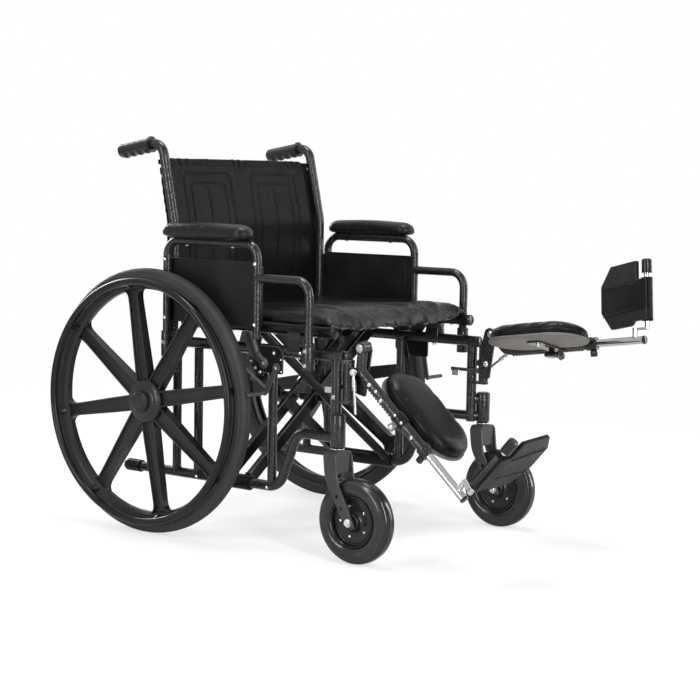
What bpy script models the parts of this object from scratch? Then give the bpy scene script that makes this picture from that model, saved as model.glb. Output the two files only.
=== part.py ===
"""Bariatric folding wheelchair with elevating leg rests. Metres, +Z up, the chair faces -Y.

SIDE is -1 for the occupant's right, the near side of the picture, and +1 for the left. Heights and
depths are measured from the floor and from the rear axle; at the end the whole chair is moved so
that its box is centred over the origin.
"""

from math import asin, cos, degrees, pi, radians, sin, sqrt, tan

import bmesh
import bpy
from mathutils import Matrix, Vector

# Clearances: between pieces that rest or are clamped, that slide, and that turn
REST_GAP = 0.0003
SLIDE_GAP = 0.0006
TURN_GAP = 0.0010

# Sides of a round tube and steps round a wheel
TUBE_SIDES = 8
WHEEL_STEPS = 32
CASTER_STEPS = 20
GRIP_STEPS = 10

# Side frames
FRAME_X = 0.262
LOWER_X = 0.242
FRAME_TUBE_R = 0.0125
LOWER_TUBE_R = 0.0115
POST_R = 0.0105
UPPER_RAIL_Z = 0.441
LOWER_RAIL_Z = 0.131
CANE_X = 0.268
CANE_R = 0.0113
CANE_Y = -0.018
CANE_BEND_Z = 0.715
CANE_LEAN = 0.218
CANE_TOP_Z = 0.898
CANE_BEND_R = 0.12
BEND_REACH = CANE_BEND_R * tan(CANE_LEAN / 2)
HANDLE_DROP = 0.17
HANDLE_LENGTH = 0.128
FRONT_POST_Y = -0.495
FRONT_POST_BOTTOM_Z = 0.250
REAR_POST_Y = -0.008
SECOND_POST_Y = -0.075
BRACE_POST_Y = -0.299
STEP_TUBE_END_Y = 0.150
STEP_TIP_LENGTH = 0.048
SWEEP_TOP_Y = -0.375
SWEEP_Z = 0.262

# Rear wheels
TRACK_X = 0.331
WHEEL_R = 0.305
TYRE_DEPTH = 0.031
TYRE_WIDTH = 0.034
RIM_DEPTH = 0.017
RIM_WIDTH = 0.028
SPOKES = 8
SPOKE_PHASE = -0.224
HUB_R = 0.050
HUB_OUT = 0.022
HUB_IN = -0.030
AXLE_R = 0.008
AXLE_SLEEVE_IN = 0.014
AXLE_SLEEVE_OUT = 0.034
HANDRIM_R = 0.2755
HANDRIM_TUBE_R = 0.0085
HANDRIM_OUT = 0.036

# Casters
CASTER_X = 0.282
STEM_Y = -0.516
CASTER_Y = -0.570
CASTER_R = 0.0925
CASTER_WIDTH = 0.044
CASTER_RIM_R = 0.056
HOUSING_R = 0.0165
HOUSING_BOTTOM_Z = 0.247
HOUSING_TOP_Z = 0.316
FORK_PLATE = 0.005
FORK_WIDTH = 0.036

# Arms
ARM_X = 0.296
ARM_TUBE_R = 0.0098
ARM_TOP_Z = 0.675
ARM_FRONT_Y = -0.295
ARM_STEP_Y = -0.443
ARM_STEP_Z = 0.600
SOCKET_R = 0.0135
SOCKET_BOTTOM_Z = 0.408
SOCKET_TOP_Z = 0.460
ARM_REAR_Y = -0.024
PAD_LENGTH = 0.260
PAD_X = 0.305
PAD_REAR_Y = -0.0235
PAD_WIDTH = 0.058
PAD_THICK = 0.034
PANEL_TOP_Z = 0.635
PANEL_BOTTOM_Z = 0.489
PANEL_THICK = 0.003

# Seat and back
SEAT_RAIL_Z = 0.490
SEAT_RAIL_FRONT_Y = -0.486
SEAT_RAIL_REAR_Y = -0.048
SEAT_THICK = 0.028
SEAT_CROWN = 0.006
SEAT_FRONT_Y = -0.480
SEAT_REAR_Y = -0.052
SEAT_OVERHANG = 0.010
BACK_THICK = 0.014
BACK_BOTTOM_Z = 0.484
BACK_TOP_Z = 0.869
BACK_SAG = 0.006
BACK_OVERHANG = 0.012
SADDLE_Y = -0.385

# Scissor braces: each has two members, and the right rail's pair straddles the left rail's pair
OUTER_MEMBER_YS = (-0.268, -0.115)
INNER_MEMBER_YS = (-0.225, -0.160)
MEMBER_WIDTH = 0.014
MEMBER_DEPTH = 0.030
STRUT_R = 0.0105
SLEEVE_R = 0.0175
BOLT_R = 0.0050

# Leg rests
HANGER_Y = -0.528
HANGER_R = 0.0115
HANGER_BOTTOM_Z = 0.347
HANGER_TOP_Z = 0.428
LUG_THICK = 0.007
LEG_X = 0.256
KNEE_Y = -0.560
KNEE_Z = 0.462
LEG_TUBE_R = 0.0115
LEG_TUBE_OFFSET = 0.0405
LEG_TUBE_START = 0.030
LEG_TUBE_END = 0.272
EXTENSION_R = 0.0090
EXTENSION_START = 0.190
EXTENSION_END = 0.394
PUSH_IN = 0.070
NEAR_LEG_ANGLE = -41.7
FAR_LEG_ANGLE = 7.9
FAR_TWIST = 9.0
CALF_X = 0.168
CALF_LENGTH = 0.246
CALF_WIDTH = 0.140
CALF_THICK = 0.036
CALF_CENTRE = 0.1735
CALF_HEIGHT = 0.0085
PLATE_HINGE_X = 0.266
PLATE_HINGE_T = 0.398
STEM_T = 0.372
HINGE_PIN_R = 0.006
PLATE_LOW = -0.004
PLATE_HIGH = 0.142
PLATE_INNER = 0.172
PLATE_OUTER = 0.016
PLATE_THICK = 0.011
PLATE_CHAMFER = 0.042
BARREL_LOW = 0.003
BARREL_HIGH = 0.101
BARREL_R = 0.0130
NEAR_PLATE_ANGLE = 3.0
FAR_PLATE_ANGLE = 118.0
FAR_CALF_TURN = 15.0
STRUT_EYE = (0.0276, -0.0440)
STRUT_OUT = 0.0175
STRUT_LENGTH = 0.093
STRUT_PIVOT_Y = -0.553
STRUT_PIVOT_Z = 0.391

# Brakes
BRAKE_LEVER_Y = -0.303
BRAKE_LEVER_Z = 0.412
BRAKE_SHOE_Y = -0.340
BRAKE_SHOE_Z = 0.404
SHOE_BAR_DROP = 0.058
SHOE_BAR_R = 0.0045
OPEN_BRAKE_GAP = 0.036

SIDES = (("right", -1), ("left", 1))
PARTS = "bariatric_wheelchair"
CUTTERS = "cutters"


def clear_scene():
    for thing in list(bpy.data.objects):
        bpy.data.objects.remove(thing)


def collection(name, shown=True):
    made = bpy.data.collections.new(name)
    made.hide_render = not shown
    bpy.context.scene.collection.children.link(made)
    return made


def material(name, colour, roughness, metallic=0.0):
    made = bpy.data.materials.new(name)
    made.use_nodes = True
    shader = made.node_tree.nodes["Principled BSDF"]
    shader.inputs["Base Color"].default_value = (*colour, 1.0)
    shader.inputs["Roughness"].default_value = roughness
    shader.inputs["Metallic"].default_value = metallic
    return made


clear_scene()
parts = collection(PARTS)
cutters = collection(CUTTERS, shown=False)
powder_coat = material("powder_coat", (0.045, 0.045, 0.045), 0.35, 0.4)
moulded = material("moulded_plastic", (0.035, 0.035, 0.036), 0.55)
rubber = material("rubber", (0.03, 0.03, 0.03), 0.6)
vinyl = material("vinyl", (0.02, 0.02, 0.021), 0.4)
chrome = material("chrome", (0.8, 0.8, 0.8), 0.12, 1.0)
zinc = material("zinc", (0.6, 0.6, 0.58), 0.3, 1.0)


def make(name, mesh, finish=None):
    thing = bpy.data.objects.new(name, mesh)
    parts.objects.link(thing)
    if finish:
        mesh.materials.clear()
        mesh.materials.append(finish)
    return thing


def from_bmesh(name, bm, finish=None):
    bmesh.ops.recalc_face_normals(bm, faces=bm.faces)
    mesh = bpy.data.meshes.new(name)
    bm.to_mesh(mesh)
    bm.free()
    return make(name, mesh, finish)


def at(side, x, y, z):
    return Vector((side * x, y, z))


def along(start, end):
    """The turn that takes +Z to the way from start to end, placed midway."""
    way = Vector(end) - Vector(start)
    turn = way.to_track_quat("Z", "Y").to_matrix().to_4x4()
    return Matrix.Translation((Vector(start) + Vector(end)) / 2) @ turn


def rod(name, start, end, radius, sides=TUBE_SIDES, finish=None, end_radius=None):
    bm = bmesh.new()
    bmesh.ops.create_cone(
        bm, cap_ends=True, segments=sides, radius1=radius, radius2=end_radius or radius,
        depth=(Vector(end) - Vector(start)).length, matrix=along(start, end),
    )
    return from_bmesh(name, bm, finish)


def block(name, low, high, finish=None, turn=Matrix.Identity(4), edge=0.0):
    """A box between two corners, with its edges taken off, and then turned or moved."""
    low, high = Vector(low), Vector(high)
    bm = bmesh.new()
    size = [abs(value) for value in high - low]
    bmesh.ops.create_cube(bm, matrix=Matrix.Translation((low + high) / 2) @ Matrix.Diagonal((*size, 1)))
    if edge:
        bmesh.ops.bevel(bm, geom=bm.edges, offset=edge, affect="EDGES", segments=1, profile=0.5, material=-1)
    bmesh.ops.transform(bm, matrix=turn, verts=bm.verts)
    return from_bmesh(name, bm, finish)


def bar(name, start, end, width, depth, finish=None):
    """A straight bar of rectangular section; width is along Y for bars in the XZ plane."""
    way = (Vector(end) - Vector(start)).normalized()
    side = Vector((0, 1, 0)) if abs(way.y) < 0.9 else Vector((1, 0, 0))
    third = way.cross(side).normalized()
    side = third.cross(way)
    turn = Matrix((side, third, way)).transposed().to_4x4()
    length = (Vector(end) - Vector(start)).length
    return block(name, (-width / 2, -depth / 2, -length / 2), (width / 2, depth / 2, length / 2), finish,
                 Matrix.Translation((Vector(start) + Vector(end)) / 2) @ turn)


def tapered(name, ends, turn=Matrix.Identity(4), finish=None):
    """A bar through rectangles, each given by its centre and its half sizes along X and Y."""
    bm = bmesh.new()
    rings = []
    for place, half_x, half_y in ends:
        corners = ((-half_x, -half_y), (half_x, -half_y), (half_x, half_y), (-half_x, half_y))
        rings.append([bm.verts.new(turn @ (place + Vector((x, y, 0)))) for x, y in corners])
    for first, second in zip(rings, rings[1:]):
        for i in range(4):
            j = (i + 1) % 4
            bm.faces.new((first[i], first[j], second[j], second[i]))
    bm.faces.new(rings[0][::-1])
    bm.faces.new(rings[-1])
    return from_bmesh(name, bm, finish)


def slab(name, points, thick, finish=None, turn=Matrix.Identity(4)):
    """A flat outline given in order, thickened along the vector and then turned."""
    bm = bmesh.new()
    face = bm.faces.new([bm.verts.new(point) for point in points])
    wall = bmesh.ops.extrude_face_region(bm, geom=[face])
    moved = [item for item in wall["geom"] if isinstance(item, bmesh.types.BMVert)]
    bmesh.ops.translate(bm, vec=thick, verts=moved)
    bmesh.ops.transform(bm, matrix=turn, verts=bm.verts)
    return from_bmesh(name, bm, finish)


def rounded(points, radius, steps=3):
    """The corners of a path replaced by arcs of this radius."""
    points = [Vector(point) for point in points]
    path = [points[0]]
    for before, corner, after in zip(points, points[1:], points[2:]):
        back, on = (before - corner).normalized(), (after - corner).normalized()
        half = back.angle(on) / 2
        reach = min(radius / tan(half), 0.49 * (before - corner).length, 0.49 * (after - corner).length)
        bend = reach * tan(half)
        centre = corner + (back + on).normalized() * (bend / sin(half))
        first = corner + back * reach - centre
        normal = first.cross(corner + on * reach - centre).normalized()
        sweep = pi - 2 * half
        for step in range(steps + 1):
            path.append(centre + Matrix.Rotation(sweep * step / steps, 3, normal) @ first)
    path.append(points[-1])
    return path


def tube(name, path, radius, finish=None, sides=TUBE_SIDES, closed=False):
    """A round bar along a path, made a mesh with its end caps welded."""
    curve = bpy.data.curves.new(name, "CURVE")
    curve.dimensions = "3D"
    curve.bevel_depth = radius
    curve.bevel_resolution = (sides - 4) // 2
    curve.use_fill_caps = not closed
    spline = curve.splines.new("POLY")
    spline.points.add(len(path) - 1)
    for point, place in zip(spline.points, path):
        point.co = (*place, 1.0)
    spline.use_cyclic_u = closed
    guide = bpy.data.objects.new(name, curve)
    parts.objects.link(guide)
    bpy.context.view_layer.update()
    graph = bpy.context.evaluated_depsgraph_get()
    mesh = bpy.data.meshes.new_from_object(guide.evaluated_get(graph))
    bpy.data.objects.remove(guide)
    bm = bmesh.new()
    bm.from_mesh(mesh)
    bmesh.ops.remove_doubles(bm, verts=bm.verts, dist=0.00002)
    bpy.data.meshes.remove(mesh)
    return from_bmesh(name, bm, finish)


def turned(name, profile, centre, steps=WHEEL_STEPS, finish=None, axis="X", ring=False, flat_down=False):
    """A profile of (radius, height) pairs, outer side top to bottom, turned about an axis."""
    mesh = bpy.data.meshes.new(name)
    start = pi / steps if flat_down else 0.0
    points = [(radius * cos(start), radius * sin(start), height) for radius, height in profile]
    edges = [(i, i + 1) for i in range(len(points) - 1)]
    if ring:
        edges.append((len(points) - 1, 0))
    mesh.from_pydata(points, edges, [])
    thing = make(name, mesh, finish)
    screw = thing.modifiers.new("turn", "SCREW")
    screw.axis = "Z"
    screw.steps = steps
    screw.render_steps = steps
    screw.use_merge_vertices = True
    screw.merge_threshold = 0.00002
    thing.location = centre
    if axis == "X":
        thing.rotation_euler = (0, pi / 2, 0)
    elif axis == "-X":
        thing.rotation_euler = (0, -pi / 2, 0)
    elif axis == "Y":
        thing.rotation_euler = (-pi / 2, 0, 0)
    bpy.context.view_layer.update()
    return thing


def bake(thing, name, finish):
    """The object's modifiers made real in one mesh that stands at the world origin."""
    bpy.context.view_layer.update()
    graph = bpy.context.evaluated_depsgraph_get()
    mesh = bpy.data.meshes.new_from_object(thing.evaluated_get(graph))
    mesh.transform(thing.matrix_world)
    bpy.data.objects.remove(thing)
    result = make(name, mesh, finish)
    result.name = name
    return result


def joined(name, pieces, finish, cuts=()):
    """One welded solid of all the pieces, less the cuts."""
    base, others = pieces[0], pieces[1:]
    base.name = "base"
    for other in others:
        union = base.modifiers.new("join", "BOOLEAN")
        union.operation = "UNION"
        union.object = other
    for cut in cuts:
        less = base.modifiers.new("cut", "BOOLEAN")
        less.operation = "DIFFERENCE"
        less.object = cut
    result = bake(base, name, finish)
    for helper in (*others, *cuts):
        bpy.data.objects.remove(helper)
    return result


def set_origin(thing, place):
    """The object's origin moved to its joint axis, with the mesh left where it is."""
    place = Vector(place)
    thing.data.transform(Matrix.Translation(-place))
    thing.location = place
    return thing


def outline(half_length, half_width, steps):
    """A stadium's points, its long axis along the first coordinate."""
    points = []
    for end in (1, -1):
        for step in range(steps + 1):
            turn = pi * step / steps - pi / 2
            reach = half_length - half_width + half_width * cos(turn)
            points.append((end * reach, end * half_width * sin(turn)))
    return points


def cushion(name, half_length, half_width, levels, steps, place, finish):
    """A padded form lofted through stadium outlines; levels are (inset, height) from below up."""
    bm = bmesh.new()
    rings = []
    for inset, height in levels:
        ring = outline(half_length - inset, half_width - inset, steps)
        rings.append([bm.verts.new(place @ Vector((u, v, height))) for u, v in ring])
    for low, high in zip(rings, rings[1:]):
        for i in range(len(low)):
            j = (i + 1) % len(low)
            bm.faces.new((low[i], low[j], high[j], high[i]))
    bm.faces.new(rings[0][::-1])
    bm.faces.new(rings[-1])
    return from_bmesh(name, bm, finish)


def cane_path(side):
    lean = (CANE_TOP_Z - CANE_BEND_Z) * tan(CANE_LEAN)
    top_y = CANE_Y + lean
    end_y = top_y + HANDLE_LENGTH
    end_z = CANE_TOP_Z - HANDLE_LENGTH * tan(HANDLE_DROP)
    points = [
        at(side, CANE_X, CANE_Y, UPPER_RAIL_Z - 0.018),
        at(side, CANE_X, CANE_Y, CANE_BEND_Z),
        at(side, CANE_X, top_y, CANE_TOP_Z),
        at(side, CANE_X, end_y, end_z),
    ]
    lower = rounded(points[:3], CANE_BEND_R)
    upper = rounded([lower[-2], points[2], points[3]], 0.030)
    return lower[:-1] + upper[1:], points[2], points[3]


def side_frame(word, side):
    """The welded tubes of one side: cane, rails, posts, sweep to the caster housing, and sockets."""
    canes, _, _ = cane_path(side)
    pieces = [
        tube("cane", canes, CANE_R),
        rod("upper_rail", at(side, FRAME_X, REAR_POST_Y + 0.016, UPPER_RAIL_Z),
            at(side, FRAME_X, FRONT_POST_Y - 0.019, UPPER_RAIL_Z), FRAME_TUBE_R),
        rod("front_post", at(side, FRAME_X, FRONT_POST_Y, FRONT_POST_BOTTOM_Z),
            at(side, FRAME_X, FRONT_POST_Y, UPPER_RAIL_Z + 0.006), FRAME_TUBE_R - 0.0006),
    ]
    sweep = rounded([
        at(side, LOWER_X, STEP_TUBE_END_Y - 0.006, LOWER_RAIL_Z),
        at(side, LOWER_X, BRACE_POST_Y - 0.022, LOWER_RAIL_Z),
        at(side, LOWER_X + 0.004, SWEEP_TOP_Y, SWEEP_Z),
        at(side, FRAME_X - 0.002, FRONT_POST_Y, SWEEP_Z),
    ], 0.045)
    pieces.append(tube("lower_rail", sweep, LOWER_TUBE_R))
    for y in (REAR_POST_Y, SECOND_POST_Y, BRACE_POST_Y):
        foot, head = at(side, LOWER_X, y, LOWER_RAIL_Z + 0.001), at(side, LOWER_X, y, UPPER_RAIL_Z - 0.001)
        pieces.append(rod("post", foot, head, POST_R))
    sleeve_in, sleeve_out = LOWER_X - AXLE_SLEEVE_IN, LOWER_X + AXLE_SLEEVE_OUT
    sleeve = at(side, sleeve_in, 0, WHEEL_R), at(side, sleeve_out, 0, WHEEL_R)
    pieces.append(rod("axle_sleeve", *sleeve, 0.0150))
    pieces.append(rod("housing", at(side, CASTER_X, STEM_Y, HOUSING_BOTTOM_Z),
                      at(side, CASTER_X, STEM_Y, HOUSING_TOP_Z), HOUSING_R, 12))
    for z in (SWEEP_Z - 0.001, HOUSING_TOP_Z - 0.014):
        post, housing = at(side, FRAME_X, FRONT_POST_Y, z), at(side, CASTER_X, STEM_Y, z)
        pieces.append(rod("web", post, housing, HOUSING_R * 0.6))
    for y in (ARM_REAR_Y, ARM_STEP_Y):
        low, high = at(side, ARM_X, y, SOCKET_BOTTOM_Z), at(side, ARM_X, y, SOCKET_TOP_Z)
        pieces.append(rod("socket", low, high, SOCKET_R))
        pieces.append(block("bracket", at(side, FRAME_X, y - 0.008, UPPER_RAIL_Z - 0.009),
                            at(side, ARM_X - 0.006, y + 0.008, UPPER_RAIL_Z + 0.008)))
    for z in (HANGER_BOTTOM_Z, HANGER_TOP_Z + LUG_THICK + REST_GAP):
        pieces.append(block("lug", at(side, FRAME_X - 0.010, FRONT_POST_Y, z - REST_GAP - LUG_THICK),
                            at(side, FRAME_X + 0.010, HANGER_Y - 0.012, z - REST_GAP)))
    cuts = [
        rod("axle_bore", at(side, sleeve_in - 0.01, 0, WHEEL_R), at(side, sleeve_out + 0.01, 0, WHEEL_R),
            AXLE_R + TURN_GAP),
        rod("stem_bore", at(side, CASTER_X, STEM_Y, HOUSING_BOTTOM_Z - 0.01),
            at(side, CASTER_X, STEM_Y, HOUSING_TOP_Z - 0.006), stem_radius() + TURN_GAP),
    ]
    for y in (ARM_REAR_Y, ARM_STEP_Y):
        low, high = at(side, ARM_X, y, SOCKET_BOTTOM_Z - 0.01), at(side, ARM_X, y, SOCKET_TOP_Z + 0.01)
        cuts.append(rod("arm_bore", low, high, ARM_TUBE_R + SLIDE_GAP))
    return joined(word + "_side_frame", pieces, powder_coat, cuts)


def stem_radius():
    return HOUSING_R * 0.5


def clear_of(radius):
    """The corner radius of a turned bore whose flats stand a rest gap off a round bar."""
    return (radius + REST_GAP) / cos(pi / GRIP_STEPS)


def push_grip(word, side):
    """A rubber grip with finger ridges, over the end of the cane."""
    _, bend, end = cane_path(side)
    way = (end - bend).normalized()
    start = bend + way * 0.031
    length = (end - start).length
    bore = clear_of(CANE_R)
    outer = bore + 0.0036
    profile = [(0.0, length + 0.004), (outer * 0.7, length + 0.004), (outer, length + 0.001)]
    ridges = 4
    for step in range(2 * ridges + 1):
        height = length - (length - 0.004) * (step + 0.5) / (2 * ridges + 1)
        profile.append((outer + (0.0018 if step % 2 else 0.0), height))
    profile += [(outer, 0.0), (bore, 0.0), (bore, length + REST_GAP), (0.0, length + REST_GAP)]
    grip = turned(word + "_push_grip", profile, start, GRIP_STEPS, rubber)
    grip.rotation_euler = way.to_track_quat("Z", "Y").to_euler()
    return grip


def step_tip(word, side):
    """The rubber tip on the lower rail's rear end, which an attendant treads on."""
    bore = clear_of(LOWER_TUBE_R)
    outer = bore + 0.0026
    length = STEP_TIP_LENGTH
    profile = [(0.0, length), (outer - 0.002, length), (outer, length - 0.003), (outer, 0.0), (bore, 0.0),
               (bore, length - 0.008), (0.0, length - 0.008)]
    start = at(side, LOWER_X, STEP_TUBE_END_Y - 0.006 - (length - 0.008) + REST_GAP, LOWER_RAIL_Z)
    return turned(word + "_step_tip", profile, start, GRIP_STEPS, rubber, axis="Y")


def corner_radius(radius, steps):
    """The corner radius of a turned tyre whose flats stand this far from its axis."""
    return radius / cos(pi / steps)


def spoke_turns(side):
    """From a spoke's own axes, its length along +Z, to its place in the wheel."""
    centre = Matrix.Translation(at(side, TRACK_X, 0, WHEEL_R))
    turns = [2 * pi * (spoke + SPOKE_PHASE) / SPOKES for spoke in range(SPOKES)]
    return [centre @ Matrix.Rotation(turn, 4, "X") for turn in turns]


def rear_wheel(word, side):
    """The one-piece moulded wheel: hub, eight spokes and rim, with the axle's bore through it."""
    rim_out = WHEEL_R - TYRE_DEPTH
    rim_in = rim_out - RIM_DEPTH
    half = RIM_WIDTH / 2
    centre = at(side, TRACK_X, 0, WHEEL_R)
    bed = [(rim_out, half), (rim_out, -half), (rim_in + 0.006, -half), (rim_in, 0.0), (rim_in + 0.006, half)]
    rim = turned("rim", bed, centre, ring=True, flat_down=True)
    barrel = [(0.0, HUB_OUT), (HUB_R * 0.94, HUB_OUT), (HUB_R, HUB_OUT - 0.004), (HUB_R * 0.86, -0.014),
              (HUB_R * 0.60, HUB_IN), (0.0, HUB_IN)]
    hub = turned("hub", barrel, centre, WHEEL_STEPS // 2, axis="X" if side > 0 else "-X")
    pieces = [rim, hub]
    for turn in spoke_turns(side):
        ends = [(Vector((0, 0, HUB_R * 0.7)), 0.013, 0.016), (Vector((0, 0, rim_in + 0.010)), 0.010, 0.011)]
        pieces.append(tapered("spoke", ends, turn))
    across = Vector((0.06, 0, 0))
    bore = rod("bore", centre - across, centre + across, AXLE_R + TURN_GAP)
    return set_origin(joined(word + "_rear_wheel", pieces, moulded, [bore]), centre)


def rear_tyre(word, side):
    outer, bed = corner_radius(WHEEL_R, WHEEL_STEPS), WHEEL_R - TYRE_DEPTH + REST_GAP
    half = TYRE_WIDTH / 2
    profile = [(bed, half * 0.8), (bed + 0.010, half), (outer - 0.010, half * 0.92), (outer, half * 0.42),
               (outer, -half * 0.42), (outer - 0.010, -half * 0.92), (bed + 0.010, -half), (bed, -half * 0.8)]
    centre = at(side, TRACK_X, 0, WHEEL_R)
    return turned(word + "_rear_tyre", profile, centre, finish=rubber, ring=True, flat_down=True)


def handrim(word, side):
    """The push ring, with a lug behind it at each spoke that is screwed to the wheel's rim."""
    centre = at(side, TRACK_X + HANDRIM_OUT, 0, WHEEL_R)
    turns = [2 * pi * step / WHEEL_STEPS for step in range(WHEEL_STEPS)]
    path = [centre + Vector((0, HANDRIM_R * cos(turn), HANDRIM_R * sin(turn))) for turn in turns]
    pieces = [tube("ring", path, HANDRIM_TUBE_R, sides=6, closed=True)]
    rim_middle = WHEEL_R - TYRE_DEPTH - RIM_DEPTH / 2 + 0.002
    outward = Matrix(((0, 0, side, 0), (1, 0, 0, 0), (0, 1, 0, 0), (0, 0, 0, 1)))
    ends = [(Vector((0, rim_middle, RIM_WIDTH / 2 + REST_GAP)), 0.0060, 0.0060),
            (Vector((0, HANDRIM_R, HANDRIM_OUT)), 0.0050, 0.0045)]
    for turn in spoke_turns(side):
        pieces.append(tapered("lug", ends, turn @ outward))
    return set_origin(joined(word + "_handrim", pieces, moulded), centre)


def rear_axle(word, side):
    """The axle bolt, with its head outside the hub and its nut inside the frame."""
    inner = LOWER_X - AXLE_SLEEVE_IN - REST_GAP
    outer = TRACK_X + HUB_OUT + REST_GAP
    pieces = [
        rod("shank", at(side, inner - 0.006, 0, WHEEL_R), at(side, outer + 0.003, 0, WHEEL_R), AXLE_R),
        rod("nut", at(side, inner - 0.010, 0, WHEEL_R), at(side, inner, 0, WHEEL_R), AXLE_R * 1.6, 6),
        rod("head", at(side, outer, 0, WHEEL_R), at(side, outer + 0.006, 0, WHEEL_R), AXLE_R * 1.6, 6),
    ]
    return set_origin(joined(word + "_rear_axle", pieces, zinc), at(side, TRACK_X, 0, WHEEL_R))


def hub_cap(word, side):
    """The cap that snaps over the axle's head."""
    reach = 0.014
    cavity = AXLE_R * 1.6 + 0.002
    profile = [(0.0, reach), (0.016, reach), (0.023, reach - 0.005), (0.024, REST_GAP), (cavity, REST_GAP),
               (cavity, 0.0075), (0.0, 0.0075)]
    return turned(word + "_hub_cap", profile, at(side, TRACK_X + HUB_OUT, 0, WHEEL_R), 20, moulded,
                  axis="X" if side > 0 else "-X")


def caster_fork(word, side):
    """The stem, its crown and the two legs that run down and forward to the axle."""
    axle = at(side, CASTER_X, CASTER_Y, CASTER_R)
    gap = CASTER_WIDTH / 2 + 0.004
    crown_z = HOUSING_BOTTOM_Z - 0.006
    wide, deep = gap + FORK_PLATE + 0.001, FORK_WIDTH / 2 + 0.001
    foot, head = at(side, CASTER_X, STEM_Y, crown_z - 0.006), at(side, CASTER_X, STEM_Y, HOUSING_TOP_Z - 0.010)
    race = at(side, CASTER_X, STEM_Y, HOUSING_BOTTOM_Z - REST_GAP)
    pieces = [
        rod("stem", foot, head, stem_radius()),
        rod("race", foot + Vector((0, 0, 0.004)), race, HOUSING_R * 0.86, 12),
        block("crown", at(side, CASTER_X - wide, STEM_Y - deep, crown_z - 0.011),
              at(side, CASTER_X + wide, STEM_Y + deep, crown_z - 0.001), edge=0.003),
    ]
    for lean in (-1, 1):
        x = CASTER_X + lean * (gap + FORK_PLATE / 2)
        top = at(side, x, STEM_Y, crown_z - 0.006)
        knee = at(side, x, STEM_Y - 0.006, crown_z - 0.062)
        foot = axle + Vector((side * (x - CASTER_X), 0, 0))
        low = foot + (foot - knee).normalized() * 0.014
        ends = [(top, FORK_PLATE / 2, FORK_WIDTH / 2), (knee, FORK_PLATE / 2, FORK_WIDTH / 2),
                (low, FORK_PLATE / 2, FORK_WIDTH * 0.31)]
        pieces.append(tapered("leg", ends))
    bore = rod("bore", axle - Vector((0.05, 0, 0)), axle + Vector((0.05, 0, 0)), 0.0050 + REST_GAP)
    fork = joined(word + "_caster_fork", pieces, powder_coat, [bore])
    return set_origin(fork, at(side, CASTER_X, STEM_Y, HOUSING_BOTTOM_Z))


def caster_wheel(word, side):
    half = CASTER_WIDTH / 2
    bed = CASTER_RIM_R
    bore = 0.0050 + SLIDE_GAP
    hub = half - 0.001
    web = half * 0.30
    lip = half * 0.80
    profile = [(bed, lip), (bed, -lip), (bed - 0.010, -lip), (bed - 0.014, -web), (0.022, -web), (0.017, -hub),
               (bore, -hub), (bore, hub), (0.017, hub), (0.022, web), (bed - 0.014, web), (bed - 0.010, lip)]
    centre = at(side, CASTER_X, CASTER_Y, CASTER_R)
    return turned(word + "_caster_wheel", profile, centre, CASTER_STEPS, moulded, ring=True, flat_down=True)


def caster_tyre(word, side):
    half = CASTER_WIDTH / 2
    bed = CASTER_RIM_R + REST_GAP
    outer = corner_radius(CASTER_R, CASTER_STEPS)
    profile = [(bed, half * 0.72), (bed + 0.010, half), (outer - 0.012, half * 0.90), (outer, half * 0.44),
               (outer, -half * 0.44), (outer - 0.012, -half * 0.90), (bed + 0.010, -half), (bed, -half * 0.72)]
    centre = at(side, CASTER_X, CASTER_Y, CASTER_R)
    return turned(word + "_caster_tyre", profile, centre, CASTER_STEPS, rubber, ring=True, flat_down=True)


def caster_axle(word, side):
    reach = CASTER_WIDTH / 2 + 0.004 + FORK_PLATE + REST_GAP
    axle = at(side, CASTER_X, CASTER_Y, CASTER_R)
    across = Vector((1, 0, 0))
    pieces = [
        rod("shank", axle - across * (reach + 0.003), axle + across * (reach + 0.003), 0.0050),
        rod("head", axle - across * (reach + 0.006), axle - across * reach, 0.0085, 6),
        rod("nut", axle + across * reach, axle + across * (reach + 0.006), 0.0085, 6),
    ]
    return set_origin(joined(word + "_caster_axle", pieces, zinc), axle)


def arm_frame(word, side):
    """The arm's tubes: over the top, down behind and in front, and the low step for a desk."""
    bottom = SOCKET_BOTTOM_Z + 0.004
    over = rounded([
        at(side, ARM_X, ARM_REAR_Y, bottom), at(side, ARM_X, ARM_REAR_Y, ARM_TOP_Z),
        at(side, ARM_X, ARM_FRONT_Y, ARM_TOP_Z), at(side, ARM_X, ARM_FRONT_Y, UPPER_RAIL_Z + 0.026),
    ], 0.036)
    step = rounded([
        at(side, ARM_X, ARM_FRONT_Y, ARM_STEP_Z), at(side, ARM_X, ARM_STEP_Y, ARM_STEP_Z),
        at(side, ARM_X, ARM_STEP_Y, bottom),
    ], 0.036)
    pieces = [tube("over", over, ARM_TUBE_R), tube("step", step, ARM_TUBE_R)]
    for y in (ARM_REAR_Y, ARM_STEP_Y):
        low, high = at(side, ARM_X, y, SOCKET_TOP_Z + REST_GAP), at(side, ARM_X, y, SOCKET_TOP_Z + 0.007)
        pieces.append(rod("collar", low, high, SOCKET_R))
    return joined(word + "_arm_frame", pieces, powder_coat)


def arm_pad(word, side):
    middle = PAD_REAR_Y - PAD_LENGTH / 2
    base = ARM_TOP_Z + ARM_TUBE_R + REST_GAP
    place = Matrix.Translation(at(side, PAD_X, middle, base)) @ Matrix.Rotation(pi / 2, 4, "Z")
    waist, shoulder = PAD_THICK * 0.42, PAD_THICK * 0.76
    levels = ((0.006, 0.0), (0.001, 0.006), (0.0, waist), (0.005, shoulder), (0.016, PAD_THICK))
    return cushion(word + "_arm_pad", PAD_LENGTH / 2, PAD_WIDTH / 2, levels, 8, place, vinyl)


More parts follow.
